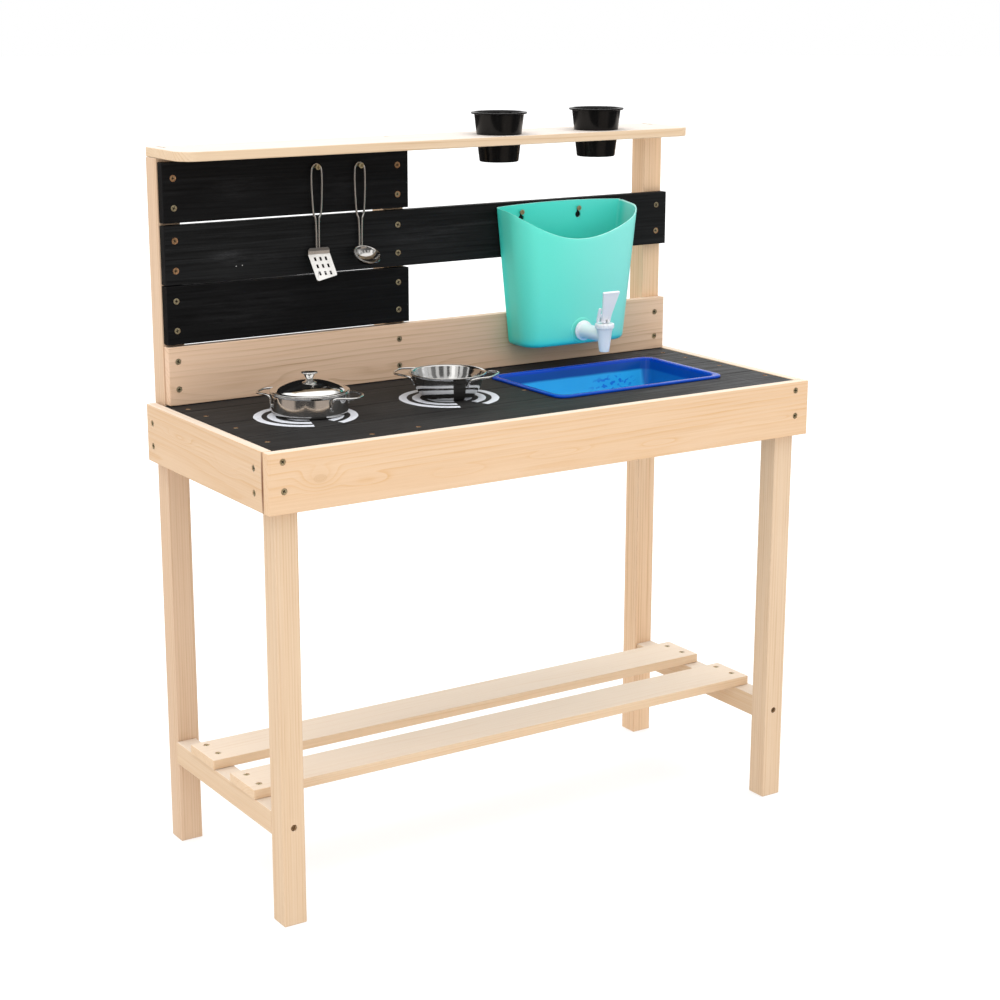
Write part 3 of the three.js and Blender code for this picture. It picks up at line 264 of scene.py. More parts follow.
def black_wood(name, lay, centre, seed, pith=(0.01, -0.05), ring=0.0045, taper=0.01, wob=0.006, scuffs=(), seam=None,
               deep=(0.0042, 0.0042, 0.0044), high=(0.0125, 0.0125, 0.013), dust=0.2, grainy=0.5, spec=0.1, pale=(0.1, 0.1, 0.105), dots=(), grey_end=None):
    T = Tree(name)
    u, v, w, r, local, off = grain(T, lay, centre, seed, pith, ring, taper, wob)
    q = T.math("MULTIPLY", r, 1.0 / ring)
    year = T.noise(T.join(T.math("MULTIPLY", q, 0.23), seed * 1.7, 0.0), 1.0, 2.0, 0.6)
    t = T.math("FRACT", T.math("ADD", q, T.math("MULTIPLY", year, 1.8)))
    late_line = T.ramp(t, [(0.0, 0.0), (0.5, 0.08), (0.8, 0.4), (0.93, 1.0), (1.0, 0.0)])
    fibre = T.noise(T.add(T.scale(local, (9, 430, 430)), off), 1.0, 4.0, 0.65)
    broad = T.noise(T.add(T.scale(local, (2.6, 24, 24)), (off[1], off[0], off[2])), 1.0, 4.0, 0.6)
    f = T.math("ADD", T.math("MULTIPLY", late_line, -0.3 * grainy), T.math("MULTIPLY", T.remap(fibre, 0.3, 0.72), 0.6 * grainy + 0.15))
    f = T.math("ADD", f, T.math("MULTIPLY", T.remap(broad, 0.35, 0.7), 0.3), clamp=True)
    col = T.mix(f, deep, high)
    # wiped, chalky haze along the grain
    haze = T.noise(T.add(T.scale(local, (4, 120, 120)), (off[2], off[1], off[0])), 1.0, 5.0, 0.7)
    haze = T.math("MULTIPLY", T.remap(haze, 0.56, 0.8), dust)
    grit = T.noise(T.scale(local, (260, 900, 900)), 1.0, 2.0, 0.6)
    for su, sv, ru, rv, amount in scuffs:
        du = T.math("MULTIPLY", T.math("SUBTRACT", u, su), 1.0 / ru)
        dv = T.math("MULTIPLY", T.math("SUBTRACT", v, sv), 1.0 / rv)
        d = T.math("SQRT", T.math("ADD", T.math("MULTIPLY", du, du), T.math("MULTIPLY", dv, dv)))
        cloud = T.noise(T.add(T.scale(local, (22, 160, 160)), off), 1.0, 4.0, 0.65)
        spot = T.math("MULTIPLY", T.remap(d, 1.0, 0.2, 0.0, amount, smooth=True), T.remap(cloud, 0.38, 0.66))
        haze = T.math("ADD", haze, spot)
    haze = T.math("MULTIPLY", haze, T.remap(grit, 0.35, 0.65, 0.5, 1.0), clamp=True)
    col = T.mix(T.math("MULTIPLY", haze, 0.3), col, pale)
    if grey_end:
        # greyer hair streaks along the grain, growing towards the right end
        hair = T.noise(T.add(T.scale(local, (12, 640, 640)), off), 1.0, 3.0, 0.6)
        greying = T.remap(T.split(T.coords())[0], grey_end[0], grey_end[1], 0.12, grey_end[2])
        col = T.mix(T.math("MULTIPLY", greying, T.remap(hair, 0.4, 0.66)), col, (0.135, 0.136, 0.142))
    if seam is not None:
        d = T.math("ABSOLUTE", T.math("SUBTRACT", u, seam))
        col = T.mix(T.math("MULTIPLY", T.remap(d, 0.0011, 0.0003, 0.0, 0.5), T.remap(broad, 0.3, 0.6, 0.3, 1.0)), col, (0.17, 0.17, 0.175))
    for pu, pv, pr in dots:
        du, dv = T.math("SUBTRACT", u, pu), T.math("SUBTRACT", v, pv)
        d = T.math("SQRT", T.math("ADD", T.math("MULTIPLY", du, du), T.math("MULTIPLY", dv, dv)))
        col = T.mix(T.math("MULTIPLY", T.remap(w, 0.0, -0.004), T.remap(d, pr, pr * 0.5, 0.0, 0.9)), col, (0.75, 0.74, 0.72))
    height = T.math("ADD", T.math("MULTIPLY", fibre, 0.6), T.math("MULTIPLY", late_line, 0.5))
    T.bump(height, 0.45, 0.0003)
    T.set(color=col, rough=T.math("ADD", T.remap(fibre, 0.25, 0.75, 0.5, 0.72), T.math("MULTIPLY", haze, 0.15)), spec=spec)
    return T.mat


def worn_black_and_sheen(name):
    """Arrises of the black boards: thin paint, bare wood showing in places; the lighter patches also serve as a painted
    highlight along the edges.
    """
    T = Tree(name)
    p = T.coords()
    n = T.noise(T.scale(p, (140, 140, 140)), 1.0, 4.0, 0.65)
    col = T.mix(T.remap(n, 0.6, 0.7, 0.0, 0.4), (0.008, 0.008, 0.0085), (0.085, 0.06, 0.04))
    fine = T.noise(T.scale(p, (900, 900, 900)), 1.0, 2.0, 0.5)
    T.bump(fine, 0.4, 0.0002)
    T.set(color=col, rough=T.remap(n, 0.3, 0.7, 0.55, 0.75), spec=0.12)
    return T.mat


def raw_wood():
    T = Tree("raw_wood_chipped")
    p = T.coords()
    n = T.noise(T.scale(p, (700, 700, 700)), 1.0, 4.0, 0.65)
    col = T.ramp(n, [(0.3, (0.02, 0.011, 0.007)), (0.45, (0.26, 0.125, 0.052)), (0.68, (0.5, 0.27, 0.125))])
    T.bump(n, 0.8, 0.0004)
    T.set(color=col, rough=T.remap(n, 0.3, 0.7, 0.6, 0.85))
    return T.mat


def screw_metal(name="screw_yellow_zinc", low=(0.3, 0.235, 0.13), mid=(0.52, 0.42, 0.24), top=(0.62, 0.54, 0.36)):
    T = Tree(name)
    p = T.coords()
    n = T.noise(T.scale(p, (260, 260, 260)), 1.0, 4.0, 0.6)
    fine = T.noise(T.scale(p, (1900, 1900, 1900)), 1.0, 2.0, 0.6)
    col = T.ramp(n, [(0.25, low), (0.5, mid), (0.78, top)])
    col = T.mix(T.remap(fine, 0.6, 0.75, 0.0, 0.35), col, (0.16, 0.12, 0.08))
    T.bump(fine, 0.3, 0.00005)
    T.set(color=col, metal=0.75, rough=T.remap(n, 0.3, 0.7, 0.35, 0.55))
    return T.mat


def recess_grime_and_shade():
    """Inside of the cross slots: dirt and shade."""
    T = Tree("screw_slot_grime_and_shade")
    p = T.coords()
    n = T.noise(T.scale(p, (1500, 1500, 1500)), 1.0, 3.0, 0.6)
    T.bump(n, 0.5, 0.0001)
    T.set(color=T.mix(n, (0.006, 0.005, 0.004), (0.05, 0.036, 0.02)), rough=T.remap(n, 0.3, 0.7, 0.6, 0.85), spec=0.15)
    return T.mat


def steel(name, kind="spun", centre=(0, 0, 0), rough=0.13, base=(0.71, 0.7, 0.685), dull_above=None):
    """Polished thin sheet: fine spinning marks round the axis, small dents in the gloss, faint smears."""
    T = Tree(name)
    p = T.add(T.coords(), tuple(-c for c in centre))
    x, y, z = T.split(p)
    if kind == "spun":
        r = T.math("SQRT", T.math("ADD", T.math("MULTIPLY", x, x), T.math("MULTIPLY", y, y)))
        lines = T.noise(T.join(T.math("MULTIPLY", r, 2600), T.math("MULTIPLY", z, 2600), 0.0), 1.0, 3.0, 0.6)
    else:
        lines = T.noise(T.scale(p, (900, 900, 240)), 1.0, 3.0, 0.6)
    smear = T.noise(T.scale(p, (38, 38, 38)), 1.0, 4.0, 0.6)
    wave = T.noise(T.scale(p, (26, 26, 26)), 1.0, 2.0, 0.5)
    col = T.mix(T.remap(smear, 0.35, 0.7, 0.0, 1.0), base, tuple(b * 0.9 for b in base))
    col = T.mix(T.remap(lines, 0.35, 0.7, 0.0, 0.25), col, tuple(b * 0.8 for b in base))
    rr = T.math("ADD", T.remap(smear, 0.35, 0.7, rough * 0.75, rough * 1.35), T.remap(lines, 0.3, 0.7, -0.02, 0.05))
    if dull_above is not None:
        # the folded edge above this height is darker and rougher
        edge = T.remap(T.split(T.coords())[2], dull_above - 0.0004, dull_above + 0.0004)
        col = T.mix(T.math("MULTIPLY", edge, 0.75), col, (0.16, 0.15, 0.14))
        rr = T.math("ADD", rr, T.math("MULTIPLY", edge, 0.15))
    T.bump(T.math("ADD", T.math("MULTIPLY", lines, 0.05), wave), 0.12, 0.0005)
    T.set(color=col, metal=1.0, rough=rr)
    return T.mat


def mint():
    T = Tree("mint_gloss_plastic")
    p = T.coords()
    x, y, z = T.split(p)
    broad = T.noise(T.scale(p, (7, 7, 7)), 1.0, 2.0, 0.5)
    orange = T.noise(T.scale(p, (520, 520, 520)), 1.0, 2.0, 0.5)
    col = T.mix(broad, (0.105, 0.72, 0.575), (0.118, 0.75, 0.61))
    # painted light: paler towards the right, where the studio's white wall would show in the gloss
    col = T.mix(T.remap(x, 0.125, 0.32, 0.0, 0.95, smooth=True), col, (0.235, 0.72, 0.645))
    # painted glow: bluer at the foot, standing in for light glowing through the plastic's lower edge
    col = T.mix(T.remap(z, 0.698, 0.681, 0.0, 0.7, smooth=True), col, (0.0, 0.62, 0.64))
    # inside of the tub: less light
    col = T.mix(T.remap(y, 0.118, 0.134, 0.0, 0.75, smooth=True), col, (0.035, 0.76, 0.65))
    # painted highlight: upward faces of the rim painted pale, standing in for the light they catch
    up = T.split(T.node("NewGeometry").outputs["Normal"])[2]
    col = T.mix(T.math("MULTIPLY", T.remap(up, 0.25, 0.7, 0.0, 0.75, smooth=True), T.remap(z, 0.8, 0.83)), col, (0.5, 0.93, 0.88))
    col = T.mix(T.remap(orange, 0.3, 0.75, 0.0, 0.04), col, (0.3, 0.8, 0.72))
    T.bump(orange, 0.05, 0.0002)
    T.set(color=col, rough=T.remap(broad, 0.3, 0.7, 0.28, 0.36), coat=0.06, coat_rough=0.16, spec=0.35)
    T.bsdf.inputs["Subsurface Weight"].default_value = 0.1
    T.bsdf.inputs["Subsurface Radius"].default_value = (0.002, 0.006, 0.005)
    return T.mat


def tap_plastic():
    T = Tree("tap_pale_plastic")
    p = T.coords()
    n = T.noise(T.scale(p, (30, 30, 30)), 1.0, 3.0, 0.5)
    fine = T.noise(T.scale(p, (800, 800, 800)), 1.0, 2.0, 0.5)
    col = T.mix(n, (0.77, 0.785, 0.82), (0.82, 0.825, 0.85))
    T.bump(fine, 0.12, 0.0001)
    T.set(color=col, rough=T.remap(fine, 0.3, 0.7, 0.28, 0.42), coat=0.15)
    T.bsdf.inputs["Subsurface Weight"].default_value = 0.2
    T.bsdf.inputs["Subsurface Radius"].default_value = (0.003, 0.003, 0.004)
    return T.mat


def blue_plastic():
    T = Tree("blue_translucent_plastic")
    p = T.coords()
    x, y, z = T.split(p)
    n = T.noise(T.scale(p, (16, 16, 16)), 1.0, 3.0, 0.5)
    fine = T.noise(T.scale(p, (420, 420, 420)), 1.0, 2.0, 0.5)
    deep = T.mix(n, (0.002, 0.055, 0.25), (0.004, 0.07, 0.31))
    light = T.mix(n, (0.02, 0.33, 0.68), (0.03, 0.39, 0.74))
    # thick worktop behind the upper walls keeps them dark; light comes through below
    step = T.remap(T.math("ADD", z, T.math("MULTIPLY", n, 0.002)), 0.636, 0.6315, 0.0, 1.0, smooth=True)
    inside = T.remap(z, 0.6455, 0.644, 0.0, 1.0)
    # right-hand end wall stands in its own shade
    shade = T.math("MULTIPLY", T.remap(x, 0.327, 0.3335, 0.0, 0.8, smooth=True), T.remap(z, 0.593, 0.598, 0.0, 1.0))
    col = T.mix(step, deep, light)
    col = T.mix(shade, col, (0.001, 0.06, 0.33))
    # painted light: the basin floor painted lighter, where light comes through the plastic from below
    floor = T.remap(z, 0.5965, 0.5915, 0.0, 1.0, smooth=True)
    col = T.mix(T.math("MULTIPLY", floor, 0.8), col, (0.06, 0.52, 0.82))
    rim = T.mix(n, (0.0, 0.045, 0.37), (0.001, 0.058, 0.43))
    col = T.mix(inside, rim, col)
    # wet spots low on the back wall
    spots = T.noise(T.scale(p, (130, 0, 190)), 1.0, 2.0, 0.4)
    dx = T.math("MULTIPLY", T.math("SUBTRACT", x, 0.275), 1 / 0.05)
    dy = T.math("MULTIPLY", T.math("SUBTRACT", z, 0.6175), 1 / 0.013)
    near = T.remap(T.math("ADD", T.math("MULTIPLY", dx, dx), T.math("MULTIPLY", dy, dy)), 1.0, 0.3, 0.0, 1.0)
    wet = T.math("MULTIPLY", T.math("MULTIPLY", T.remap(spots, 0.54, 0.58), near), T.remap(y, 0.05, 0.058))
    col = T.mix(T.math("MULTIPLY", wet, 0.7), col, (0.01, 0.09, 0.55))
    T.bump(T.math("ADD", T.math("MULTIPLY", fine, 0.25), T.math("MULTIPLY", wet, 1.0)), 0.15, 0.0003)
    T.set(color=col, rough=T.remap(fine, 0.3, 0.7, 0.12, 0.2), coat=0.06, coat_rough=0.05, spec=0.16)
    return T.mat


def pot_plastic():
    T = Tree("plant_pot_black_plastic")
    p = T.coords()
    n = T.noise(T.scale(p, (22, 22, 22)), 1.0, 4.0, 0.6)
    streak = T.noise(T.scale(p, (240, 240, 14)), 1.0, 3.0, 0.6)
    fine = T.noise(T.scale(p, (700, 700, 700)), 1.0, 2.0, 0.5)
    col = T.mix(n, (0.0025, 0.0024, 0.0024), (0.0045, 0.0043, 0.0043))
    col = T.mix(T.remap(streak, 0.5, 0.75, 0.0, 0.35), col, (0.014, 0.0135, 0.0135))
    T.bump(T.math("ADD", T.math("MULTIPLY", fine, 0.3), T.math("MULTIPLY", streak, 0.5)), 0.03, 0.0001)
    T.set(color=col, rough=T.remap(streak, 0.3, 0.7, 0.16, 0.22), spec=0.22)
    return T.mat


def ring_paint():
    T = Tree("hob_ring_paint")
    p = T.coords()
    n = T.noise(T.scale(p, (60, 60, 60)), 1.0, 4.0, 0.6)
    wood = T.noise(T.scale(p, (14, 520, 520)), 1.0, 4.0, 0.65)
    col = T.mix(n, (0.6, 0.62, 0.67), (0.69, 0.71, 0.76))
    # the boards' grain shows through where the paint is thin
    col = T.mix(T.remap(wood, 0.6, 0.72, 0.0, 0.45), col, (0.16, 0.165, 0.18))
    T.bump(wood, 0.4, 0.0002)
    T.set(color=col, rough=T.remap(n, 0.3, 0.7, 0.45, 0.6))
    return T.mat


def rubber_mat():
    T = Tree("washer_rubber")
    p = T.coords()
    n = T.noise(T.scale(p, (500, 500, 500)), 1.0, 3.0, 0.6)
    T.bump(n, 0.3, 0.0002)
    T.set(color=T.mix(n, (0.012, 0.012, 0.012), (0.03, 0.03, 0.03)), rough=T.remap(n, 0.3, 0.7, 0.6, 0.8))
    return T.mat


# ------------------------------------------------------------------ mesh helpers
def finish_object(name, me, mats, body, replaces=(), smooth=35.0, bevel=None, weighted=False, sub=0):
    for m in mats if isinstance(mats, (list, tuple)) else [mats]:
        me.materials.append(m)
    me.shade_smooth()
    if smooth is not None:
        me.set_sharp_from_angle(angle=radians(smooth))
    ob = bpy.data.objects.new(name, me)
    bpy.context.scene.collection.objects.link(ob)
    if bevel:
        b = ob.modifiers.new("round", "BEVEL")
        b.width, b.segments, b.limit_method, b.angle_limit = bevel[0] / 1000, bevel[1], "ANGLE", radians(bevel[2])
        b.harden_normals = False
    if sub:
        s = ob.modifiers.new("sub", "SUBSURF")
        s.levels = s.render_levels = sub
    if weighted:
        w = ob.modifiers.new("normals", "WEIGHTED_NORMAL")
        w.keep_sharp = True
    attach(ob, body)
    if replaces:
        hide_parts(*replaces)
    return ob


def mesh_of(name, verts, faces, place=None, metres=False):
    me = bpy.data.meshes.new(name)
    pts = [Vector(v) for v in verts]
    if place is not None:
        pts = [place @ p for p in pts]
    if not metres:
        pts = [V(*p) for p in pts]
    me.from_pydata(pts, [], faces)
    bm = bmesh.new()
    bm.from_mesh(me)
    bmesh.ops.remove_doubles(bm, verts=bm.verts, dist=1e-7)
    bmesh.ops.recalc_face_normals(bm, faces=bm.faces)
    bm.to_mesh(me)
    bm.free()
    return me


def merged(name, parts):
    """One mesh from several (verts, faces) lists, in millimetres."""
    verts, faces = [], []
    for pv, pf in parts:
        o = len(verts)
        verts += [tuple(p) for p in pv]
        faces += [tuple(i + o for i in f) for f in pf]
    return mesh_of(name, verts, faces)


def moved(part, m):
    pv, pf = part
    return [m @ Vector(p) for p in pv], pf


def curve(pts, k=5):
    """Smooth run through profile points, several steps to a span."""
    out = []
    for i in range(len(pts) - 1):
        p0, p1, p2, p3 = pts[max(i - 1, 0)], pts[i], pts[i + 1], pts[min(i + 2, len(pts) - 1)]
        for j in range(k):
            t = j / k
            out.append(tuple(0.5 * (2 * b + (c - a) * t + (2 * a - 5 * b + 4 * c - d) * t * t + (3 * b - a - 3 * c + d) * t ** 3)
                             for a, b, c, d in zip(p0, p1, p2, p3)))
    return out + [tuple(pts[-1])]


def steady(profile, d=0.35):
    """Extra points near the ends of long straight runs, so that shading stays on the rounded corners."""
    out = []
    for a, b in zip(profile, profile[1:]):
        out.append(a)
        n = math.hypot(b[0] - a[0], b[1] - a[1])
        if n > 4 * d:
            for t in (d / n, 1 - d / n):
                out.append((a[0] + (b[0] - a[0]) * t, a[1] + (b[1] - a[1]) * t))
    return out + [profile[-1]]


def lathe(profile, segs=72, closed=False):
    verts, faces, idx = [], [], []
    for r, h in profile:
        if r < 1e-6:
            idx.append([len(verts)])
            verts.append((0, 0, h))
        else:
            o = len(verts)
            idx.append([o + i for i in range(segs)])
            verts += [(r * cos(2 * pi * i / segs), r * sin(2 * pi * i / segs), h) for i in range(segs)]
    pairs = list(zip(idx, idx[1:])) + ([(idx[-1], idx[0])] if closed else [])
    for A, B in pairs:
        if len(A) == 1 and len(B) == 1:
            continue
        for i in range(segs):
            j = (i + 1) % segs
            if len(A) == 1:
                faces.append((A[0], B[i], B[j]))
            elif len(B) == 1:
                faces.append((A[i], B[0], A[j]))
            else:
                faces.append((A[i], B[i], B[j], A[j]))
    return verts, faces


def loft(rings, cap0=True, cap1=True):
    n = len(rings[0])
    verts = [tuple(p) for ring in rings for p in ring]
    faces = []
    for k in range(len(rings) - 1):
        for i in range(n):
            j = (i + 1) % n
            faces.append((k * n + i, k * n + j, (k + 1) * n + j, (k + 1) * n + i))
    if cap0:
        faces.append(tuple(range(n))[::-1])
    if cap1:
        faces.append(tuple((len(rings) - 1) * n + i for i in range(n)))
    return verts, faces


def smooth_path(pts, per=8):
    """Catmull-Rom through the points."""
    P = [Vector(p) for p in pts]
    P = [P[0] * 2 - P[1]] + P + [P[-1] * 2 - P[-2]]
    out = []
    for i in range(1, len(P) - 2):
        a, b, c, d = P[i - 1], P[i], P[i + 1], P[i + 2]
        for k in range(per):
            t = k / per
            out.append(0.5 * ((2 * b) + (c - a) * t + (2 * a - 5 * b + 4 * c - d) * t * t + (3 * b - a - 3 * c + d) * t ** 3))
    out.append(P[-2])
    return out


def tube(path, r, sides=14, taper=None):
    """Round wire along a path, with rounded ends."""
    P = [Vector(p) for p in path]
    rings = []
    up = None
    for i, p in enumerate(P):
        t = (P[min(i + 1, len(P) - 1)] - P[max(i - 1, 0)]).normalized()
        if up is None:
            up = Vector((0, 0, 1)) if abs(t.z) < 0.9 else Vector((1, 0, 0))
        s = up.cross(t).normalized()
        up = t.cross(s).normalized()
        rr = r if taper is None else taper(i / (len(P) - 1))
        rings.append((p, s, up, t, rr))
    out = []

    def ring(p, s, u, rr):
        return [p + s * (rr * cos(2 * pi * k / sides)) + u * (rr * sin(2 * pi * k / sides)) for k in range(sides)]
    p, s, u, t, rr = rings[0]
    for f in (0.35, 0.75):
        out.append(ring(p - t * (rr * 0.6 * (1 - f)) , s, u, rr * math.sqrt(1 - (1 - f) ** 2)))
    for p, s, u, t, rr in rings:
        out.append(ring(p, s, u, rr))
    for f in (0.75, 0.35):
        out.append(ring(p + t * (rr * 0.6 * (1 - f)), s, u, rr * math.sqrt(1 - (1 - f) ** 2)))
    return loft(out)


def outline_prism(pts, z0, z1):
    n = len(pts)
    verts = [(x, y, z0) for x, y in pts] + [(x, y, z1) for x, y in pts]
    faces = [tuple(range(n))[::-1], tuple(range(n, 2 * n))]
    faces += [(i, (i + 1) % n, n + (i + 1) % n, n + i) for i in range(n)]
    return verts, faces


def rounded_outline(pts, r, k=5):
    """Each corner of a closed outline becomes an arc of radius r (or of its own third value)."""
    out = []
    n = len(pts)
    for i in range(n):
        rr = pts[i][2] if len(pts[i]) > 2 else r
        p = Vector(pts[i][:2]); a = Vector(pts[i - 1][:2]); b = Vector(pts[(i + 1) % n][:2])
        da, db = (a - p).normalized(), (b - p).normalized()
        ang = da.angle(db)
        if rr <= 0 or ang > pi - 0.05:
            out.append(tuple(p))
            continue
        d = min(rr / math.tan(ang / 2), (a - p).length * 0.48, (b - p).length * 0.48)
        s, e = p + da * d, p + db * d
        for j in range(k + 1):
            t = j / k
            q = s * (1 - t) ** 2 + p * 2 * t * (1 - t) + e * t ** 2
            out.append(tuple(q))
    return out


def refined(node, mats, body, bevel=1.0, segs=3, holes=(), angle=25, smooth=38, edge_mat=1, name=None, inner=None):
    """The CAD solid with its arrises eased. holes: (axis, x, y, z, radius) whose rims stay crisp."""
    bm = bmesh.new()
    bm.from_mesh(NODES[node].data)
    bmesh.ops.remove_doubles(bm, verts=bm.verts, dist=2e-6)
    bmesh.ops.dissolve_limit(bm, angle_limit=radians(0.4), verts=bm.verts[:], edges=bm.edges[:])
    bmesh.ops.recalc_face_normals(bm, faces=bm.faces)
    holes_m = [(ax, V(x, y, z), r / 1000) for ax, x, y, z, r in holes]

    def near_hole(p):
        for ax, c, r in holes_m:
            d = p - c
            if ax == "x":
                q = math.hypot(d.y, d.z)
            elif ax == "y":
                q = math.hypot(d.x, d.z)
            else:
                q = math.hypot(d.x, d.y)
            if q < r + 0.0004:
                return True
        return False
    edges = [e for e in bm.edges if len(e.link_faces) == 2 and e.calc_face_angle(0) > radians(angle)
             and not (near_hole(e.verts[0].co) and near_hole(e.verts[1].co))]
    if bevel:
        bmesh.ops.bevel(bm, geom=edges, offset=bevel / 1000, offset_type="OFFSET", segments=segs, profile=0.5, affect="EDGES",
                        clamp_overlap=False, material=edge_mat if isinstance(mats, (list, tuple)) and len(mats) > 1 else -1)
    if inner is not None:
        for f in bm.faces:
            if near_hole(f.calc_center_median()):
                f.material_index = inner
    me = bpy.data.meshes.new(node + "_mesh")
    bm.to_mesh(me)
    bm.free()
    return finish_object(name or node + "_piece", me, mats, body, replaces=(node,), smooth=smooth, weighted=True)


# ------------------------------------------------------------------ camera and light
cam_data = bpy.data.cameras.new("view_camera")
cam_data.sensor_width = 36.0
cam_data.lens = 73.46
cam_data.shift_x = 0.01649
cam_data.shift_y = -0.00487
cam_data.clip_end = 200.0
cam = bpy.data.objects.new("view_camera", cam_data)
bpy.context.scene.collection.objects.link(cam)
cam.location = (-1.54012, -2.3911, 1.2182)
cam.rotation_euler = (radians(75.7053), 0.0, radians(-32.736))
bpy.context.scene.camera = cam

scene = bpy.context.scene
scene.view_settings.view_transform = "Standard"
scene.view_settings.look = "None"
scene.view_settings.exposure = 0.0
scene.view_settings.gamma = 1.0

world = bpy.data.worlds.new("studio")
scene.world = world
world.use_nodes = True
wt = world.node_tree
wt.nodes.clear()
wout = wt.nodes.new("ShaderNodeOutputWorld")
soft = wt.nodes.new("ShaderNodeBackground")
dark = wt.nodes.new("ShaderNodeBackground")
wmix = wt.nodes.new("ShaderNodeMixShader")
path = wt.nodes.new("ShaderNodeLightPath")
wt.links.new(path.outputs["Is Glossy Ray"], wmix.inputs[0])
wt.links.new(soft.outputs[0], wmix.inputs[1])
wt.links.new(dark.outputs[0], wmix.inputs[2])
wt.links.new(wmix.outputs[0], wout.inputs[0])


def wmath(op, a, b=None, clamp=False):
    n = wt.nodes.new("ShaderNodeMath")
    n.operation, n.use_clamp = op, clamp
    for sock, val in zip(n.inputs, (a, b)):
        if isinstance(val, bpy.types.NodeSocket):
            wt.links.new(val, sock)
        elif val is not None:
            sock.default_value = val
    return n.outputs[0]


def wrange(v, a, b, c, d):
    n = wt.nodes.new("ShaderNodeMapRange")
    n.interpolation_type = "SMOOTHSTEP"
    wt.links.new(v, n.inputs["Value"])
    for key, val in zip(("From Min", "From Max", "To Min", "To Max"), (a, b, c, d)):
        n.inputs[key].default_value = val
    return n.outputs["Result"]


# white cloth all round, brighter overhead
way = wt.nodes.new("ShaderNodeTexCoord")
sep = wt.nodes.new("ShaderNodeSeparateXYZ")
wt.links.new(way.outputs["Generated"], sep.inputs[0])
wx, wy, wz = sep.outputs
soft.inputs["Color"].default_value = (1.0, 1.0, 1.0, 1.0)
wt.links.new(wrange(wz, 0.62, 0.86, 1.0, 2.7), soft.inputs["Strength"])
# what gloss sees: white behind and overhead, a dim room in front with tall soft boxes
over = wrange(wz, 0.5, 0.74, 0.0, 1.6)
behind = wrange(wy, 0.05, 0.5, 0.0, 1.0)
turn_ = wmath("ARCTAN2", wx, wmath("MULTIPLY", wy, -1.0))
tall = wmath("MULTIPLY", wrange(wmath("SINE", wmath("ADD", wmath("MULTIPLY", turn_, 13.0), 0.6)), 0.0, 0.45, 0.0, 0.95), wrange(wz, 0.12, 0.3, 0.0, 1.0))
room = wrange(wx, -0.1, 0.9, 0.17, 0.5)
wt.links.new(wmath("MAXIMUM", wmath("MAXIMUM", over, behind), wmath("MAXIMUM", tall, room)), dark.inputs["Strength"])
dark.inputs["Color"].default_value = (1.0, 0.995, 0.985, 1.0)


def area(name, loc, target, size, power, colour=(1, 1, 1)):
    ld = bpy.data.lights.new(name, "AREA")
    ld.shape = "RECTANGLE"
    ld.size, ld.size_y = size
    ld.energy = power
    ld.color = colour
    lo = bpy.data.objects.new(name, ld)
    bpy.context.scene.collection.objects.link(lo)
    lo.location = loc
    d = Vector(target) - Vector(loc)
    lo.rotation_euler = d.to_track_quat("-Z", "Y").to_euler()
    return lo


area("key_left", (-2.6, -1.9, 2.5), (0, 0, 0.6), (1.8, 1.8), 9, (1.0, 0.99, 0.97))
area("fill_right", (2.9, -2.4, 2.0), (0, 0, 0.6), (1.6, 2.0), 5, (0.97, 0.985, 1.0))
area("back", (0.6, 2.8, 2.4), (0, 0, 0.6), (2.0, 1.6), 5)

floor_t = Tree("floor_paper")
fn = floor_t.noise(floor_t.scale(floor_t.coords(), (0.6, 0.6, 0.6)), 1.0, 2.0, 0.5)
paper = floor_t.mix(fn, (0.4, 0.4, 0.4), (0.42, 0.42, 0.42))
# what gloss sees of the floor: a dim room with two lit patches
fx, fy, fz = floor_t.split(floor_t.coords())
round_ = floor_t.math("ARCTAN2", floor_t.math("ADD", fx, 0.277), floor_t.math("MULTIPLY", floor_t.math("SUBTRACT", fy, 0.007), -1.0))
lit = [floor_t.remap(floor_t.math("ABSOLUTE", floor_t.math("SUBTRACT", round_, mid)), 0.52, 0.32, 0.0, 1.0, smooth=True) for mid in (-1.7, 0.21)]
gloss = floor_t.mix(floor_t.math("MAXIMUM", lit[0], lit[1]), (0.055, 0.052, 0.05), (0.34, 0.29, 0.25))
floor_t.set(color=floor_t.mix(floor_t.node("LightPath").outputs["Is Glossy Ray"], paper, gloss), rough=0.9, spec=0.0)
floor_t.bsdf.inputs["Emission Color"].default_value = (1.0, 1.0, 1.0, 1.0)
# lit paper, unlit to the gloss of pieces that face it
floor_t.put(floor_t.bsdf.inputs["Emission Strength"], floor_t.remap(floor_t.node("LightPath").outputs["Is Glossy Ray"], 0.0, 1.0, 0.62, 0.0))
fl = bpy.data.meshes.new("floor_mesh")
ring = [(30 * cos(2 * pi * i / 64), 30 * sin(2 * pi * i / 64), -0.0005) for i in range(64)]
fl.from_pydata(ring, [], [tuple(range(64))])
fl.materials.append(floor_t.mat)
floor = bpy.data.objects.new("floor", fl)
scene.collection.objects.link(floor)

# ------------------------------------------------------------------ shared materials
M_SCREW = screw_metal()
M_SCREW_DULL = screw_metal("screw_tarnished", (0.19, 0.16, 0.1), (0.4, 0.34, 0.21), (0.56, 0.49, 0.32))
M_SCREW_RUSTY = screw_metal("screw_rusty", (0.1, 0.055, 0.025), (0.36, 0.22, 0.11), (0.6, 0.43, 0.26))
M_GRIME_AND_SHADE = recess_grime_and_shade()
M_RAW = raw_wood()
M_MINT = mint()
M_TAP = tap_plastic()
M_BLUE = blue_plastic()
M_POT = pot_plastic()
M_PAINT = ring_paint()
M_RUBBER = rubber_mat()
M_WORN_AND_SHEEN = worn_black_and_sheen("black_board_arris")
M_WIRE = steel("steel_wire", "plain", rough=0.16)

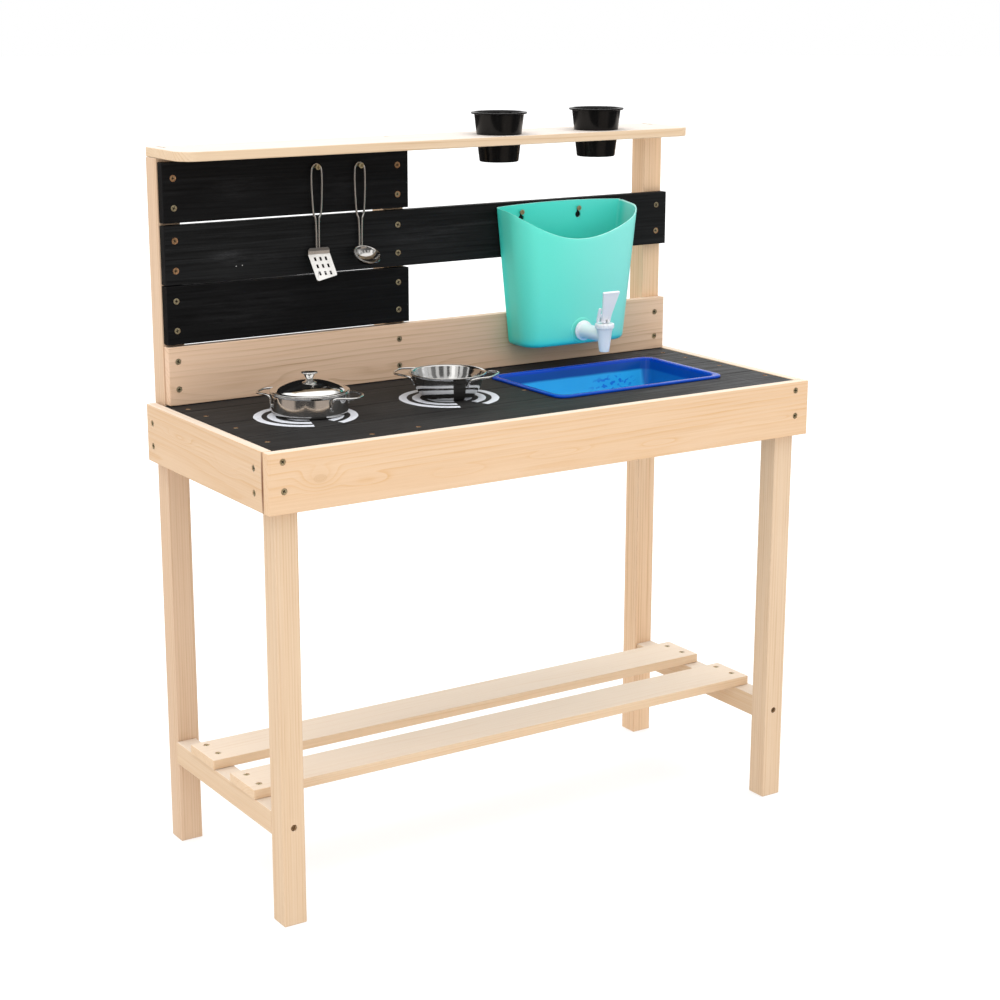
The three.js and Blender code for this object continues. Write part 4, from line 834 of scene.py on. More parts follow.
# ------------------------------------------------------------------ boards
S = 4.6
SC = {  # screw recesses of each board: axis, x, y, z, outward sign
    "apron_front": [("y", -419, 0, 633.5, -1), ("y", -418, 0, 595.6, -1), ("y", 416, 0, 633.3, -1), ("y", 416.8, 0, 595.6, -1)],
    "apron_left": [("x", -440, 40.5, 620.3, -1), ("x", -440, 40.5, 588.3, -1), ("x", -440, 349.5, 621, -1), ("x", -440, 349, 589.2, -1)],
    "apron_right": [("x", 440, 40.5, 620.3, 1), ("x", 440, 40.5, 588.3, 1), ("x", 440, 350, 621, 1), ("x", 440, 350, 589.2, 1)],
    "splash_plank": [("y", x, 328.7, z, -1) for x, z in ((-407, 706.9), (-407, 668.4), (-57.3, 705.4), (-57.3, 666.3), (407.8, 704.8), (407.8, 666.3))],
    "back_board_lower": [("y", x, 328.7, z, -1) for x, z in ((-406.5, 789.9), (-406.5, 749.4), (-58, 788.7), (-58, 749))],
    "back_board_long": [("y", x, 328.7, z, -1) for x, z in ((-405.6, 871.6), (-405.6, 831.2), (-58, 871.5), (-58, 831.2), (407, 872.7), (407, 832.8))],
    "back_board_upper": [("y", x, 328.7, z, -1) for x, z in ((-405.2, 955.4), (-405.2, 915.5), (-58, 956.5), (-58, 915))],
    "top_shelf": [("z", x, y, 995, 1) for x, y in ((-408, 350), (-57.5, 358), (408, 350), (-408, 366), (408, 366))],
    "shelf_slat_rear": [("z", x, y, 168.5, 1) for x, y in ((-410, 275), (-409.4, 238.4), (403.5, 271), (405, 235))],
    "shelf_slat_front": [("z", x, y, 168.5, 1) for x, y in ((-411.6, 146), (-411.8, 108), (405.7, 149), (406.8, 113))],
}
SW = {  # smaller ones in the worktop
    "worktop_board_front": [("z", x, y, 645.2, 1) for x, y in ((-406.4, 66), (414, 66.5), (-272.4, 33.5), (-199.4, 39))],
    "worktop_board_centre_left": [("z", x, y, 645.2, 1) for x, y in ((-404, 162), (52.5, 167))],
    "worktop_board_centre_right": [("z", 408, 165, 645.2, 1)],
    "worktop_board_rear": [("z", x, y, 645.2, 1) for x, y in ((-405, 250), (406, 246))],
    "worktop_strip_back": [("z", x, y, 645.2, 1) for x, y in ((-406.5, 304.3), (401, 296.5))],
}


def centre_of(node):
    lo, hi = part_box(node)
    return tuple((a + b) / 2 for a, b in zip(lo, hi))


def holes_of(node):
    return [(a, x, y, z, S) for a, x, y, z, s in SC.get(node, ())] + [(a, x, y, z, 3.6) for a, x, y, z, s in SW.get(node, ())]


PINE = {
    # name: lay, pith (across, through) from the board's centre, ring, taper, knots, extra
    "apron_front": dict(lay="xy", pith=(-0.03, 0.045), ring=0.0046, taper=0.006, wob=0.004,
                        knots=((-0.367, 0.0, 0.0058),), strength=0.95,
                        hills=((-0.3, -0.012, 0.06, 0.013, 1.8), (0.0, -0.013, 0.07, 0.009, 1.9), (0.36, -0.01, 0.09, 0.006, 1.6), (0.17, -0.02, 0.08, 0.01, 1.5),
                               (-0.16, -0.018, 0.07, 0.011, 1.4)),
                        pale=(0.715, 0.51, 0.335), late=(0.62, 0.345, 0.13)),
    "apron_left": dict(lay="yx", pith=(-0.03, 0.04), ring=0.0048, taper=0.02, strength=0.85, pale=(0.68, 0.49, 0.325), late=(0.58, 0.33, 0.14),
                       # painted shadow: dark strip of the gap's shade near the front corner
                       painted_shade=(-0.1757, 0.0, 0.0045, 0.07, (0.25, 0.13, 0.1), 0.97),
                       hills=((0.07, 0.01, 0.07, 0.012, 2.2), (-0.07, 0.0, 0.06, 0.016, 1.7))),
    "apron_right": dict(lay="yx", pith=(0.01, -0.05), ring=0.0046, taper=0.02),
    "apron_rear": dict(lay="xy", pith=(0.01, 0.06), ring=0.004, taper=0.01),
    "leg_front_left": dict(lay="zy", pith=(0.06, 0.03), ring=0.0032, taper=0.002, wob=0.002, strength=0.95, pale=(0.685, 0.515, 0.355), late=(0.5, 0.3, 0.155)),
    "leg_front_right": dict(lay="zy", pith=(-0.06, 0.05), ring=0.0034, taper=0.002, wob=0.002, strength=0.95, pale=(0.69, 0.525, 0.37), late=(0.5, 0.31, 0.165)),
    "post_rear_left": dict(lay="zy", pith=(0.06, -0.05), ring=0.0034, taper=0.002, wob=0.002, strength=0.95, pale=(0.665, 0.485, 0.34), late=(0.46, 0.28, 0.15)),
    "post_rear_right": dict(lay="zy", pith=(0.05, 0.05), ring=0.0036, taper=0.002, wob=0.002, strength=1.0, pale=(0.785, 0.56, 0.37), late=(0.5, 0.29, 0.14)),
    "post_middle": dict(lay="zy", pith=(0.04, 0.05), ring=0.0038, taper=0.002, wob=0.002),
    "splash_plank": dict(lay="xy", pith=(-0.05, 0.03), ring=0.0058, taper=0.012, wob=0.006, pale=(0.735, 0.53, 0.38), top_glare=0.3,
                         late=(0.42, 0.255, 0.135), strength=0.9, hills=((-0.33, -0.028, 0.17, 0.028, 2.6), (-0.08, -0.03, 0.16, 0.02, 1.6), (0.28, 0.0, 0.2, 0.02, 1.3)),
                         # painted shade: green-tinted shade and reflected light from the water box
                         painted_shade=(0.155, -0.002, 0.07, 0.05, (0.72, 0.98, 0.88), 0.55)),
    "top_shelf": dict(lay="xz", pith=(0.05, -0.06), ring=0.004, taper=0.005, strength=0.9, pale=(0.71, 0.55, 0.385), late=(0.5, 0.32, 0.17), top_glare=0.9, glare_colour=(0.64, 0.595, 0.56)),
    "shelf_slat_rear": dict(lay="xz", pith=(0.04, -0.05), ring=0.0044, taper=0.008, pale=(0.72, 0.545, 0.375), top_glare=0.8, strength=0.75, glare_colour=(0.735, 0.63, 0.52),
                            hills=((0.1, 0.0, 0.2, 0.018, 1.6),)),
    "shelf_slat_front": dict(lay="xz", pith=(-0.04, -0.05), ring=0.004, taper=0.008, pale=(0.72, 0.545, 0.375), top_glare=0.8, strength=0.75, glare_colour=(0.735, 0.63, 0.52),
                             hills=((-0.12, 0.004, 0.24, 0.02, 1.8),)),
    "shelf_rail_left": dict(lay="yx", pith=(0.04, 0.04), ring=0.0036, taper=0.004, wob=0.003, strength=0.5, pale=(0.68, 0.51, 0.35)),
    "shelf_rail_right": dict(lay="yx", pith=(0.04, 0.04), ring=0.0036, taper=0.004, wob=0.003, pale=(0.66, 0.49, 0.33)),
    "worktop_ledger_left": dict(lay="yx", pith=(0.03, 0.04), ring=0.0036, taper=0.004, wob=0.005),
    "worktop_ledger_right": dict(lay="yx", pith=(0.03, 0.04), ring=0.0036, taper=0.004, wob=0.005),
    "worktop_batten_left": dict(lay="yz", pith=(0.03, 0.04), ring=0.0042, taper=0.02),
    "worktop_batten_middle": dict(lay="yz", pith=(0.01, -0.04), ring=0.0042, taper=0.02),
}
for i, (node, opt) in enumerate(PINE.items()):
    opt = dict(opt)
    lay = opt.pop("lay")
    m = pine("pine_" + node, lay, centre_of(node), 1.0 + i * 1.37, **opt)
    extra = [("z", x, 306, 990, 33.3) for x in (100, 273.2)] if node == "top_shelf" else []
    if node in ("leg_front_left", "leg_front_right", "post_rear_left", "post_rear_right", "shelf_rail_left", "shelf_rail_right"):
        extra = [("y", -408.6, 0, 137.4, 4.8), ("y", 408.6, 0, 137.4, 4.8)]
    refined(node, [m], "frame", bevel=1.3, segs=3, holes=holes_of(node) + extra)

TOPW = dict(lay="xz", dust=1.0, high=(0.03, 0.0282, 0.0268), deep=(0.0085, 0.0079, 0.0075), grainy=1.0, spec=0.1, pale=(0.16, 0.16, 0.16), grey_end=(0.05, 0.4, 0.8))
BLACK = {
    "worktop_board_front": dict(TOPW, pith=(0.04, -0.05), seam=0.366),
    "worktop_board_centre_left": dict(TOPW, pith=(-0.04, -0.05)),
    "worktop_board_centre_right": dict(TOPW, pith=(0.04, -0.05), seam=-0.021),
    "worktop_board_rear": dict(TOPW, pith=(0.05, -0.05), seam=0.366),
    "worktop_strip_back": dict(TOPW, pith=(0.03, -0.05), seam=0.366),
    "back_board_lower": dict(lay="xy", pith=(0.04, -0.045), deep=(0.0022, 0.0022, 0.0024), high=(0.0088, 0.0088, 0.0093), dust=0.5, grainy=0.9, scuffs=((-0.06, 0.0, 0.13, 0.04, 0.25),)),
    "back_board_long": dict(lay="xy", pith=(-0.045, -0.05), deep=(0.0035, 0.0036, 0.0037), high=(0.017, 0.0175, 0.018), dust=0.6, grainy=0.95, scuffs=((-0.325, -0.008, 0.055, 0.016, 0.8), (-0.27, -0.012, 0.03, 0.012, 0.5), (-0.01, 0.0, 0.1, 0.03, 0.4)),
                            dots=((-0.318, -0.021, 0.0008), (-0.3085, -0.0205, 0.0008))),
    "back_board_upper": dict(lay="xy", pith=(-0.04, -0.04), deep=(0.0026, 0.0026, 0.0028), high=(0.0107, 0.0107, 0.0112), dust=0.5, grainy=0.9, scuffs=((-0.08, 0.0, 0.06, 0.02, 0.35), (0.07, -0.005, 0.08, 0.03, 0.25))),
}
for i, (node, opt) in enumerate(BLACK.items()):
    opt = dict(opt)
    lay = opt.pop("lay")
    m = black_wood("black_" + node, lay, centre_of(node), 2.0 + i * 2.11, **opt)
    ob = refined(node, [m, M_WORN_AND_SHEEN, M_RAW], "frame", bevel=0.9, segs=2, holes=holes_of(node), inner=2)
    if node == "back_board_lower":
        # its top edge was planed a little out of square
        for vert in ob.data.vertices:
            if vert.co.z > 0.8085:
                vert.co.z += 0.0003 - 0.0013 * min(1.0, max(0.0, (vert.co.x + 0.22) / 0.12))

# ------------------------------------------------------------------ screws
def head_part(r, twist, n=48):
    """Countersunk head seen from above: shallow dome, cross recess, conical underside."""
    verts, faces, idx = [], [], []
    radii = [0.0, 0.1, 0.19, 0.28, 0.36, 0.44, 0.52, 0.6, 0.68, 0.78, 0.9, 0.97, 1.0]
    arm, reach = 0.15 * r, 0.64 * r
    for k, rho in enumerate(radii):
        row = []
        for i in range(1 if k == 0 else n):
            a = 2 * pi * i / n
            x, y = rho * r * cos(a), rho * r * sin(a)
            z = 0.05 * r * (1 - rho * rho)
            if rho > 0.98:
                z -= 0.05 * r
            s, l = min(abs(x), abs(y)), max(abs(x), abs(y))
            if s < arm and l < reach or rho < 0.2:
                z -= 0.42 * r * (1 - 0.55 * (l / reach) ** 2)
            row.append(len(verts))
            verts.append((x * cos(twist) - y * sin(twist), x * sin(twist) + y * cos(twist), z))
        idx.append(row)
    row = []
    for i in range(n):
        a = 2 * pi * i / n
        row.append(len(verts))
        verts.append((0.55 * r * cos(a + twist), 0.55 * r * sin(a + twist), -0.5 * r))
    idx.append(row)
    row = [len(verts)]
    verts.append((0, 0, -0.52 * r))
    idx.append(row)
    for A, B in zip(idx, idx[1:]):
        for i in range(n):
            j = (i + 1) % n
            if len(A) == 1:
                faces.append((A[0], B[i], B[j]))
            elif len(B) == 1:
                faces.append((A[i], B[0], A[j]))
            else:
                faces.append((A[i], B[i], B[j], A[j]))
    return verts, faces


def to_axis(axis, sign, x, y, z):
    """Turns +Z to point out of the board and moves to the point."""
    d = {"x": Vector((sign, 0, 0)), "y": Vector((0, sign, 0)), "z": Vector((0, 0, sign))}[axis]
    return Matrix.Translation(Vector((x, y, z))) @ Vector((0, 0, 1)).rotation_difference(d).to_matrix().to_4x4()


def slot_part(r, twist):
    """Floor of the cross slot."""
    a, e = 0.19 * r, 0.66 * r
    pts = [(a, a), (a, e), (-a, e), (-a, a), (-e, a), (-e, -a), (-a, -a), (-a, -e), (a, -e), (a, -a), (e, -a), (e, a)]
    pts = [(x * cos(twist) - y * sin(twist), x * sin(twist) + y * cos(twist)) for x, y in pts]
    return outline_prism(pts, -0.3 * r, -0.08 * r)


# screws sunk flush into the paint, without a chipped ring
FLUSH = {(-405.2, 915.5), (-58, 831.2), (-406.5, 789.9), (-406.5, 749.4), (-58, 788.7), (-58, 749), (407, 872.7), (-58, 871.5)}
rng = random.Random(11)
for node, rows in list(SC.items()) + list(SW.items()):
    small = node in SW
    board = node.startswith("back_board")
    heads, dull, rusty, slots, collars = [], [], [], [], []
    for axis, x, y, z, sign in rows:
        flush = (x, z) in FLUSH
        r = 2.75 if small else 4.2 if board and flush else 3.3 if board else 3.9
        deep = 0.75 if small else 0.3 if board and flush else 0.75 if board else 0.4 + 0.3 * rng.random()
        tilt = Matrix.Rotation(radians(rng.uniform(-4, 4)), 4, "X") @ Matrix.Rotation(radians(rng.uniform(-4, 4)), 4, "Y")
        m = to_axis(axis, sign, x, y, z) @ Matrix.Translation((0, 0, -deep)) @ tilt
        twist = rng.uniform(0, pi / 2)
        pick = dull if small or board and flush or rng.random() < 0.3 else rusty if board else heads
        pick.append(moved(head_part(r, twist), m))
        slots.append(moved(slot_part(r, twist), m))
        R = 3.55 if small else 4.55
        if not small:
            prof = [(R, -0.12), (R - 0.25, -0.3), (r + 0.15, -deep - 0.1), (r - 0.3, -deep - 0.75), (R, -1.9)]
            if board and flush:
                prof = [(R, -0.35), (r + 0.1, -0.5), (r - 0.2, -1.2), (R, -1.9)]
            ring_v, ring_f = lathe(prof, 28, closed=True)
            jit = []
            for vx, vy, vz in ring_v:
                a = math.atan2(vy, vx)
                k = 1 + 0.035 * sin(3 * a + x) * (1 if math.hypot(vx, vy) < R - 0.2 else 0)
                jit.append((vx * k, vy * k, vz))
            collars.append((flush, moved((jit, ring_f), to_axis(axis, sign, x, y, z))))
    if heads:
        finish_object(node + "_screw_heads", merged(node + "_screws", heads), [M_SCREW], "frame", smooth=50)
    if dull:
        finish_object(node + "_screw_heads_dull", merged(node + "_screws_dull", dull), [M_SCREW_DULL], "frame", smooth=50)
    if rusty:
        finish_object(node + "_screw_heads_rusty", merged(node + "_screws_rusty", rusty), [M_SCREW_RUSTY], "frame", smooth=50)
    finish_object(node + "_screw_slots", merged(node + "_slots", slots), [M_GRIME_AND_SHADE], "frame", smooth=30)
    if board:
        for flag, label, matter in ((False, "_bare_rings", M_RAW), (True, "_shadow_rings", M_GRIME_AND_SHADE)):
            part = [c for f, c in collars if f == flag]
            if part:
                finish_object(node + label, merged(node + label, part), [matter], "frame", smooth=40)

# long screws of the lower shelf rails
for node, x, y, sign in (("rail_screw_front_left", -408.6, 14.3, -1), ("rail_screw_front_right", 408.6, 14.3, -1),
                         ("rail_screw_rear_left", -408.6, 375, 1), ("rail_screw_rear_right", 408.6, 375, 1)):
    m = to_axis("y", sign, x, y, 137.4)
    shank = lathe([(0, -1.6), (1.9, -2.2), (1.9, -60), (0.5, -63.8), (0, -64)], 20)
    me = merged(node, [moved(head_part(4.1, rng.uniform(0, 1.5)), m @ Matrix.Translation((0, 0, -0.95))), moved(shank, m)])
    finish_object(node + "_piece", me, [M_SCREW_RUSTY], "frame", replaces=(node,), smooth=50)

# hanging screws
for node, x, z, reach in (("spatula_screw", -191.3, 960.6, 11.5), ("ladle_screw", -122.6, 959.6, 11.5),
                          ("water_box_screw_left", 152.7, 877.2, 6.6), ("water_box_screw_right", 256.1, 877.2, 6.6)):
    m = to_axis("y", -1, x, 328.7, z)
    neck = [(0, reach - 1.2), (1.65, reach - 1.9)]
    h = reach - 2.4
    while h > -10:                      # thread: small ridges down the shank
        neck += [(1.45, h), (1.7, h - 0.35), (1.7, h - 0.5), (1.45, h - 0.85)]
        h -= 0.95
    neck += [(0.3, -11.7), (0, -11.9)]
    me = merged(node, [moved(head_part(3.85, rng.uniform(0, 1.5)), m @ Matrix.Translation((0, 0, reach - 0.25))), moved(lathe(neck, 20), m)])
    finish_object(node + "_piece", me, [M_SCREW], "frame", replaces=(node,), smooth=50)

# ------------------------------------------------------------------ painted hob rings
def hob(name, cx, cy, gaps):
    bm = bmesh.new()
    for (ro, ri), (g0, g1) in zip(((70.3, 59.6), (51.8, 40.8), (32, 21)), gaps):
        n = 132
        span = 2 * pi - radians(g1 - g0)
        rows = []
        for i in range(n + 1):
            a = radians(g1) + span * i / n
            # brush edge: a little uneven
            wob = 0.18 * sin(7 * a + ro) + 0.12 * sin(17 * a + cx)
            row = []
            for r, h in ((ri - wob, 0.02), (ri + 0.4 - wob, 0.14), ((ro + ri) / 2, 0.17), (ro - 0.4 + wob, 0.14), (ro + wob, 0.02)):
                row.append(bm.verts.new(V(cx + r * cos(a), cy + r * sin(a), 645.22 + h)))
            rows.append(row)
        for A, B in zip(rows, rows[1:]):
            for k in range(4):
                bm.faces.new((A[k], B[k], B[k + 1], A[k + 1]))
    for y in (106.0, 198.1):
        for yy in (y - 0.45, y + 0.45):
            bmesh.ops.bisect_plane(bm, geom=bm.verts[:] + bm.edges[:] + bm.faces[:], plane_co=V(0, yy, 0), plane_no=(0, 1, 0))
        gone = [f for f in bm.faces if abs(f.calc_center_median().y * 1000 + Y_SHIFT - y) < 0.44]
        bmesh.ops.delete(bm, geom=gone, context="FACES")
    ext = bmesh.ops.extrude_face_region(bm, geom=bm.faces[:])
    for e in ext["geom"]:
        if isinstance(e, bmesh.types.BMVert):
            e.co.z = V(0, 0, 645.16).z
    bmesh.ops.recalc_face_normals(bm, faces=bm.faces)
    me = bpy.data.meshes.new(name)
    bm.to_mesh(me)
    bm.free()
    finish_object(name, me, [M_PAINT], "frame", smooth=40)


hob("hob_rings_left", -290.9, 180.6, ((-108.5, -72.5),) * 3)
hob("hob_rings_right", -65.0, 180.0, ((-108.5, -72.5),) * 3)

# ------------------------------------------------------------------ plant pots
for side, cx in (("left", 100.0), ("right", 273.2)):
    top, bot = 1027, 956
    prof = [(0, bot + 1.4), (24, bot + 1.4), (25.2, bot), (27.3, bot), (28.3, bot + 0.7), (28.6, bot + 2), (29.5, bot + 10), (29.65, bot + 10.4),
            (32.75, 994), (36.0, 1022.6), (36.2, 1023.8), (36.8, 1024.25), (39.9, 1024.3), (40.6, 1024.7), (40.8, 1025.6), (40.7, 1026.4),
            (40.2, 1026.95), (39.4, 1027), (37.2, 1026.9), (36.2, 1026.3), (35.2, 1024.4), (34.5, 1020), (31.2, 992), (27.2, bot + 4.4), (25.4, bot + 3), (0, bot + 3)]
    me = mesh_of("plant_pot_" + side, *lathe(prof, 96), place=Matrix.Translation((cx, 306, 0)))
    finish_object(f"plant_pot_{side}_shell", me, [M_POT], f"plant_pot_{side}_body", replaces=(f"plant_pot_{side}",), smooth=42)

# ------------------------------------------------------------------ water box
WB = dict(xc=222.0, z0=680.0, z1=888.5, half0=92.1, half1=114.6, dep0=58.5, dep1=66.0, back=328.4)


def wb_plan(z, off, nb=8, nc=6, ns=5, nf=14, nw=14):
    k = (z - WB["z0"]) / (WB["z1"] - WB["z0"])
    half = WB["half0"] + (WB["half1"] - WB["half0"]) * k - off
    dep = WB["dep0"] + (WB["dep1"] - WB["dep0"]) * k - off
    r, rb = 26 + 6 * k - off, max(7 - off, 2.5)
    back, y0 = WB["back"] - off, WB["back"] - dep
    right = [((half - rb) * i / nb, back) for i in range(nb + 1)]
    for i in range(1, nc + 1):
        t = pi / 2 - (i / nc) * (pi / 2)
        right.append((half - rb + rb * cos(t), back - rb + rb * sin(t)))
    for i in range(1, ns + 1):
        right.append((half, back - rb + (y0 + r - (back - rb)) * i / ns))
    for i in range(1, nf + 1):
        t = -(i / nf) * (pi / 2)
        right.append((half - r + r * cos(t), y0 + r + r * sin(t)))
    for i in range(1, nw + 1):
        right.append(((half - r) * (1 - i / nw), y0))
    lim = WB["back"] - dep * 0.45
    pts = []
    for x, y in right:
        if y < lim:
            y -= 2.6 * max(0.0, 1 - (x / half) ** 2) * min(1.0, (lim - y) / 14.0)
        pts.append((x, y))
    left = [(-x, y) for x, y in pts[1:-1][::-1]]
    return [(WB["xc"] + x, y) for x, y in pts + left]


def wb_rim(x, y):
    d = (x - WB["xc"]) ** 2
    back = 890.1 - 0.00027 * d
    if y > WB["back"] - 3:
        return back
    return min(back, 839.8 + 0.003 * d + 0.13 * max(0.0, y - 268))


def wb_ring(f, off, zlow, drop=0.0):
    top = wb_plan(WB["z1"], off)
    out = []
    for i, (tx, ty) in enumerate(top):
        rim = wb_rim(tx, ty) - drop
        z = zlow + (rim - zlow) * f
        p = wb_plan(z, off)[i]
        out.append((p[0], p[1], z))
    return out


rings = []
for k in range(7):                                   # rounded foot outside
    a = (k / 6) * pi / 2
    off = 8 * (1 - sin(a))
    z = 680 + 8 * (1 - cos(a))
    rings.append([(x, y, z) for x, y in wb_plan(max(z, 680), off)])
for f in (0.12, 0.25, 0.38, 0.5, 0.62, 0.74, 0.85, 0.94):
    rings.append(wb_ring(f, 0.0, 688.0))
rings.append(wb_ring(1.0, 0.0, 688.0, 1.0))
rings.append(wb_ring(1.0, 0.15, 688.0, 0.35))
rings.append(wb_ring(1.0, 0.75, 688.0, 0.0))
rings.append(wb_ring(1.0, 1.65, 688.0, 0.0))
rings.append(wb_ring(1.0, 2.25, 688.0, 0.35))
rings.append(wb_ring(1.0, 2.4, 688.0, 1.0))
for f in (0.94, 0.85, 0.74, 0.62, 0.5, 0.38, 0.25, 0.12):
    rings.append(wb_ring(f, 2.4, 689.0))
for k in range(6):
    a = pi / 2 - (k / 5) * pi / 2
    off = 2.4 + 6 * (1 - sin(a))
    z = 682.9 + 6 * (1 - cos(a))
    rings.append([(x, y, z) for x, y in wb_plan(z, off)])
WALL_Y = min(y for x, y in wb_plan(702, 0.0))
SEAT_Y = WALL_Y - 1.4
box_me = mesh_of("water_box_shell", *loft(rings))


def cut_with(me, cutters):
    """Exact boolean cut, applied."""
    ob = bpy.data.objects.new("cut_me", me)
    scene.collection.objects.link(ob)
    tools = []
    for verts, faces in cutters:
        c = bpy.data.objects.new("cutter", mesh_of("cutter", verts, faces))
        scene.collection.objects.link(c)
        tools.append(c)
        mod = ob.modifiers.new("cut", "BOOLEAN")
        mod.operation, mod.solver, mod.object = "DIFFERENCE", "EXACT", c
    dg = bpy.context.evaluated_depsgraph_get()
    out = bpy.data.meshes.new_from_object(ob.evaluated_get(dg))
    for o in tools + [ob]:
        d = o.data
        bpy.data.objects.remove(o)
        if d.users == 0:
            bpy.data.meshes.remove(d)
    return out


def keyhole(x, z):
    pts = []
    for i in range(25):                                # round part below
        a = radians(62.6) - radians(360 - 2 * (90 - 62.6)) * i / 24
        pts.append((x + 5 * cos(a), z - 9.5 + 5 * sin(a)))
    for i in range(9):                                 # rounded top of the slot
        a = pi - pi * i / 8
        pts.append((x + 2.3 * cos(a), z + 2.3 * sin(a)))
    verts, faces = outline_prism(pts, -335, -320)
    return [(vx, -vz, vy) for vx, vy, vz in verts], faces


cutters = [keyhole(152.7, 877.2), keyhole(256.1, 877.2)]
hole = lathe([(0, -10), (8.1, -10), (8.1, 12), (0, 12)], 40)
cutters.append(moved(hole, to_axis("y", -1, 223, WALL_Y, 702)))
box_me = cut_with(box_me, cutters)
box_ob = finish_object("water_box_tub", box_me, [M_MINT], "water_box_body", replaces=("water_box",), smooth=50)
boss = lathe([(8.15, 0.2), (8.15, 1.4), (17.6, 1.4), (18.6, 1.15), (19.0, 0.7), (19.3, 0.2), (20.2, -0.25), (20.2, -0.7), (8.15, -0.7)], 64, closed=True)
finish_object("water_box_boss", mesh_of("boss", *moved(boss, to_axis("y", -1, 223, WALL_Y, 702))), [M_MINT], "water_box_body", smooth=40)

# ------------------------------------------------------------------ tap
FLANGE_Y = SEAT_Y - 0.3 - 2 - 0.3
washer = lathe([(8.3, 0), (12.2, 0), (12.5, 0.3), (12.5, 1.7), (12.2, 2.0), (8.3, 2.0)], 48, closed=True)
finish_object("tap_washer_ring", mesh_of("washer", *moved(washer, to_axis("y", -1, 223, SEAT_Y - 0.3, 702))), [M_RUBBER], "water_box_body",
              replaces=("tap_washer",), smooth=40)
out = FLANGE_Y - 208.5
body = lathe([(0, -6), (5.0, -6), (5.0, -19.6), (7.0, -19.9), (7.5, -19.4)] +
             [p for k in range(12) for p in ((7.6, -18.6 + 1.4 * k), (6.9, -18.1 + 1.4 * k), (7.6, -17.6 + 1.4 * k))] +
             [(7.7, -1.0), (7.7, 0), (14.6, 0), (15.0, 0.4), (15.0, 2.0), (14.6, 2.9), (13.6, 3.5), (12.3, 3.6), (11.8, 4.4), (11.2, 6),
              (10.9, 12), (10.5, out - 9), (10.4, out), (0, out)], 56)
nozzle = lathe([(4.4, 693.9), (4.4, 690), (5.6, 689.4), (5.6, 678.6), (6.0, 678.05), (6.9, 678), (7.35, 678.4), (7.5, 679.2), (9.4, 693.5), (11.4, 709.2),
                (11.9, 710.2), (11.95, 712.2), (11.6, 712.6), (8.8, 712.6), (8.4, 712), (7.6, 694.2)], 56, closed=True)
me = merged("tap_body", [moved(body, to_axis("y", -1, 223, FLANGE_Y, 702)), moved(nozzle, Matrix.Translation((223, 208.5, 0)))])
finish_object("tap_body_shell", me, [M_TAP], "water_box_body", replaces=("tap_body",), smooth=40)
hexa = [(14 * cos(pi / 3 * i), 14 * sin(pi / 3 * i)) for i in range(6)]
nut_v, nut_f = [], []
rings = []
for h, s in ((0.0, 0.93), (0.9, 1.0), (5.1, 1.0), (6.0, 0.93)):
    row = []
    for i in range(48):
        a = 2 * pi * i / 48
        k = cos(pi / 6) / cos(((a + pi / 6) % (pi / 3)) - pi / 6)
        row.append((min(14 * k, 13.6) * s * cos(a + pi / 6), min(14 * k, 13.6) * s * sin(a + pi / 6), h))
    rings.append(row)
for h in (6.0, 0.0):
    rings.append([(8.1 * cos(2 * pi * i / 48 + pi / 6), 8.1 * sin(2 * pi * i / 48 + pi / 6), h) for i in range(48)])
rings.append(rings[0])
lo_n, hi_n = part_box("tap_nut")
nut_y = hi_n[1] * 1000 + Y_SHIFT
me = mesh_of("nut", *moved(loft(rings, False, False), to_axis("y", -1, 223, nut_y, 702)))
finish_object("tap_nut_piece", me, [M_TAP], "water_box_body", replaces=("tap_nut",), smooth=30)
# knurled cap: lobes round the edge, rounded top and foot
n, rings = 144, []
for h, s, amp in ((712.9, 13.2, 0.2), (713.3, 13.9, 0.6), (714.4, 14.2, 1.0), (718.6, 14.2, 1.0), (719.8, 13.8, 0.7), (720.4, 12.9, 0.2), (720.5, 11.9, 0.0), (720.2, 11.2, 0), (720.2, 4.2, 0), (720.5, 3.9, 0),
                 (720.5, 3.2, 0), (713.2, 3.1, 0), (712.95, 6, 0)):
    row = []
    for i in range(n):
        a = 2 * pi * i / n
        lobe = 1.15 * amp * (abs(cos(6 * a)) ** 0.6 - 0.78)
        row.append(((s + lobe) * cos(a), (s + lobe) * sin(a), h))
    rings.append(row)
rings.append(rings[0])
me = mesh_of("cap", *moved(loft(rings, False, False), Matrix.Translation((223, 208.5, 0))))
finish_object("tap_cap_ring", me, [M_TAP], "water_box_body", replaces=("tap_cap",), smooth=45)
refined("tap_stem", [M_TAP], "tap_valve", bevel=0.25, segs=2, smooth=40)
pin = lathe([(0, -6.4), (0.85, -6.4), (1.05, -6.2), (1.05, 6.2), (0.85, 6.4), (0, 6.4)], 24)
finish_object("tap_lever_pin_rod", mesh_of("pin", *moved(pin, to_axis("x", 1, 223, 208.5, 724.7))), [M_WIRE], "tap_valve", replaces=("tap_lever_pin",))
refined("tap_lever", [M_TAP], "tap_lever_body", bevel=0.55, segs=3, smooth=40)

# ------------------------------------------------------------------ basin
def rrect(x0, x1, y0, y1, r, k=12, e=7):
    pts = []
    corners = [(x1 - r, y1 - r, 0), (x0 + r, y1 - r, 90), (x0 + r, y0 + r, 180), (x1 - r, y0 + r, 270)]
    for ci, (cx, cy, a) in enumerate(corners):
        for i in range(k + 1):
            t = radians(a + 90 * i / k)
            pts.append((cx + r * cos(t), cy + r * sin(t)))
        nx, ny, na = corners[(ci + 1) % 4]
        q = (nx + r * cos(radians(na)), ny + r * sin(radians(na)))
        p = pts[-1]
        for i in range(1, e + 1):
            pts.append((p[0] + (q[0] - p[0]) * i / (e + 1), p[1] + (q[1] - p[1]) * i / (e + 1)))
    return pts


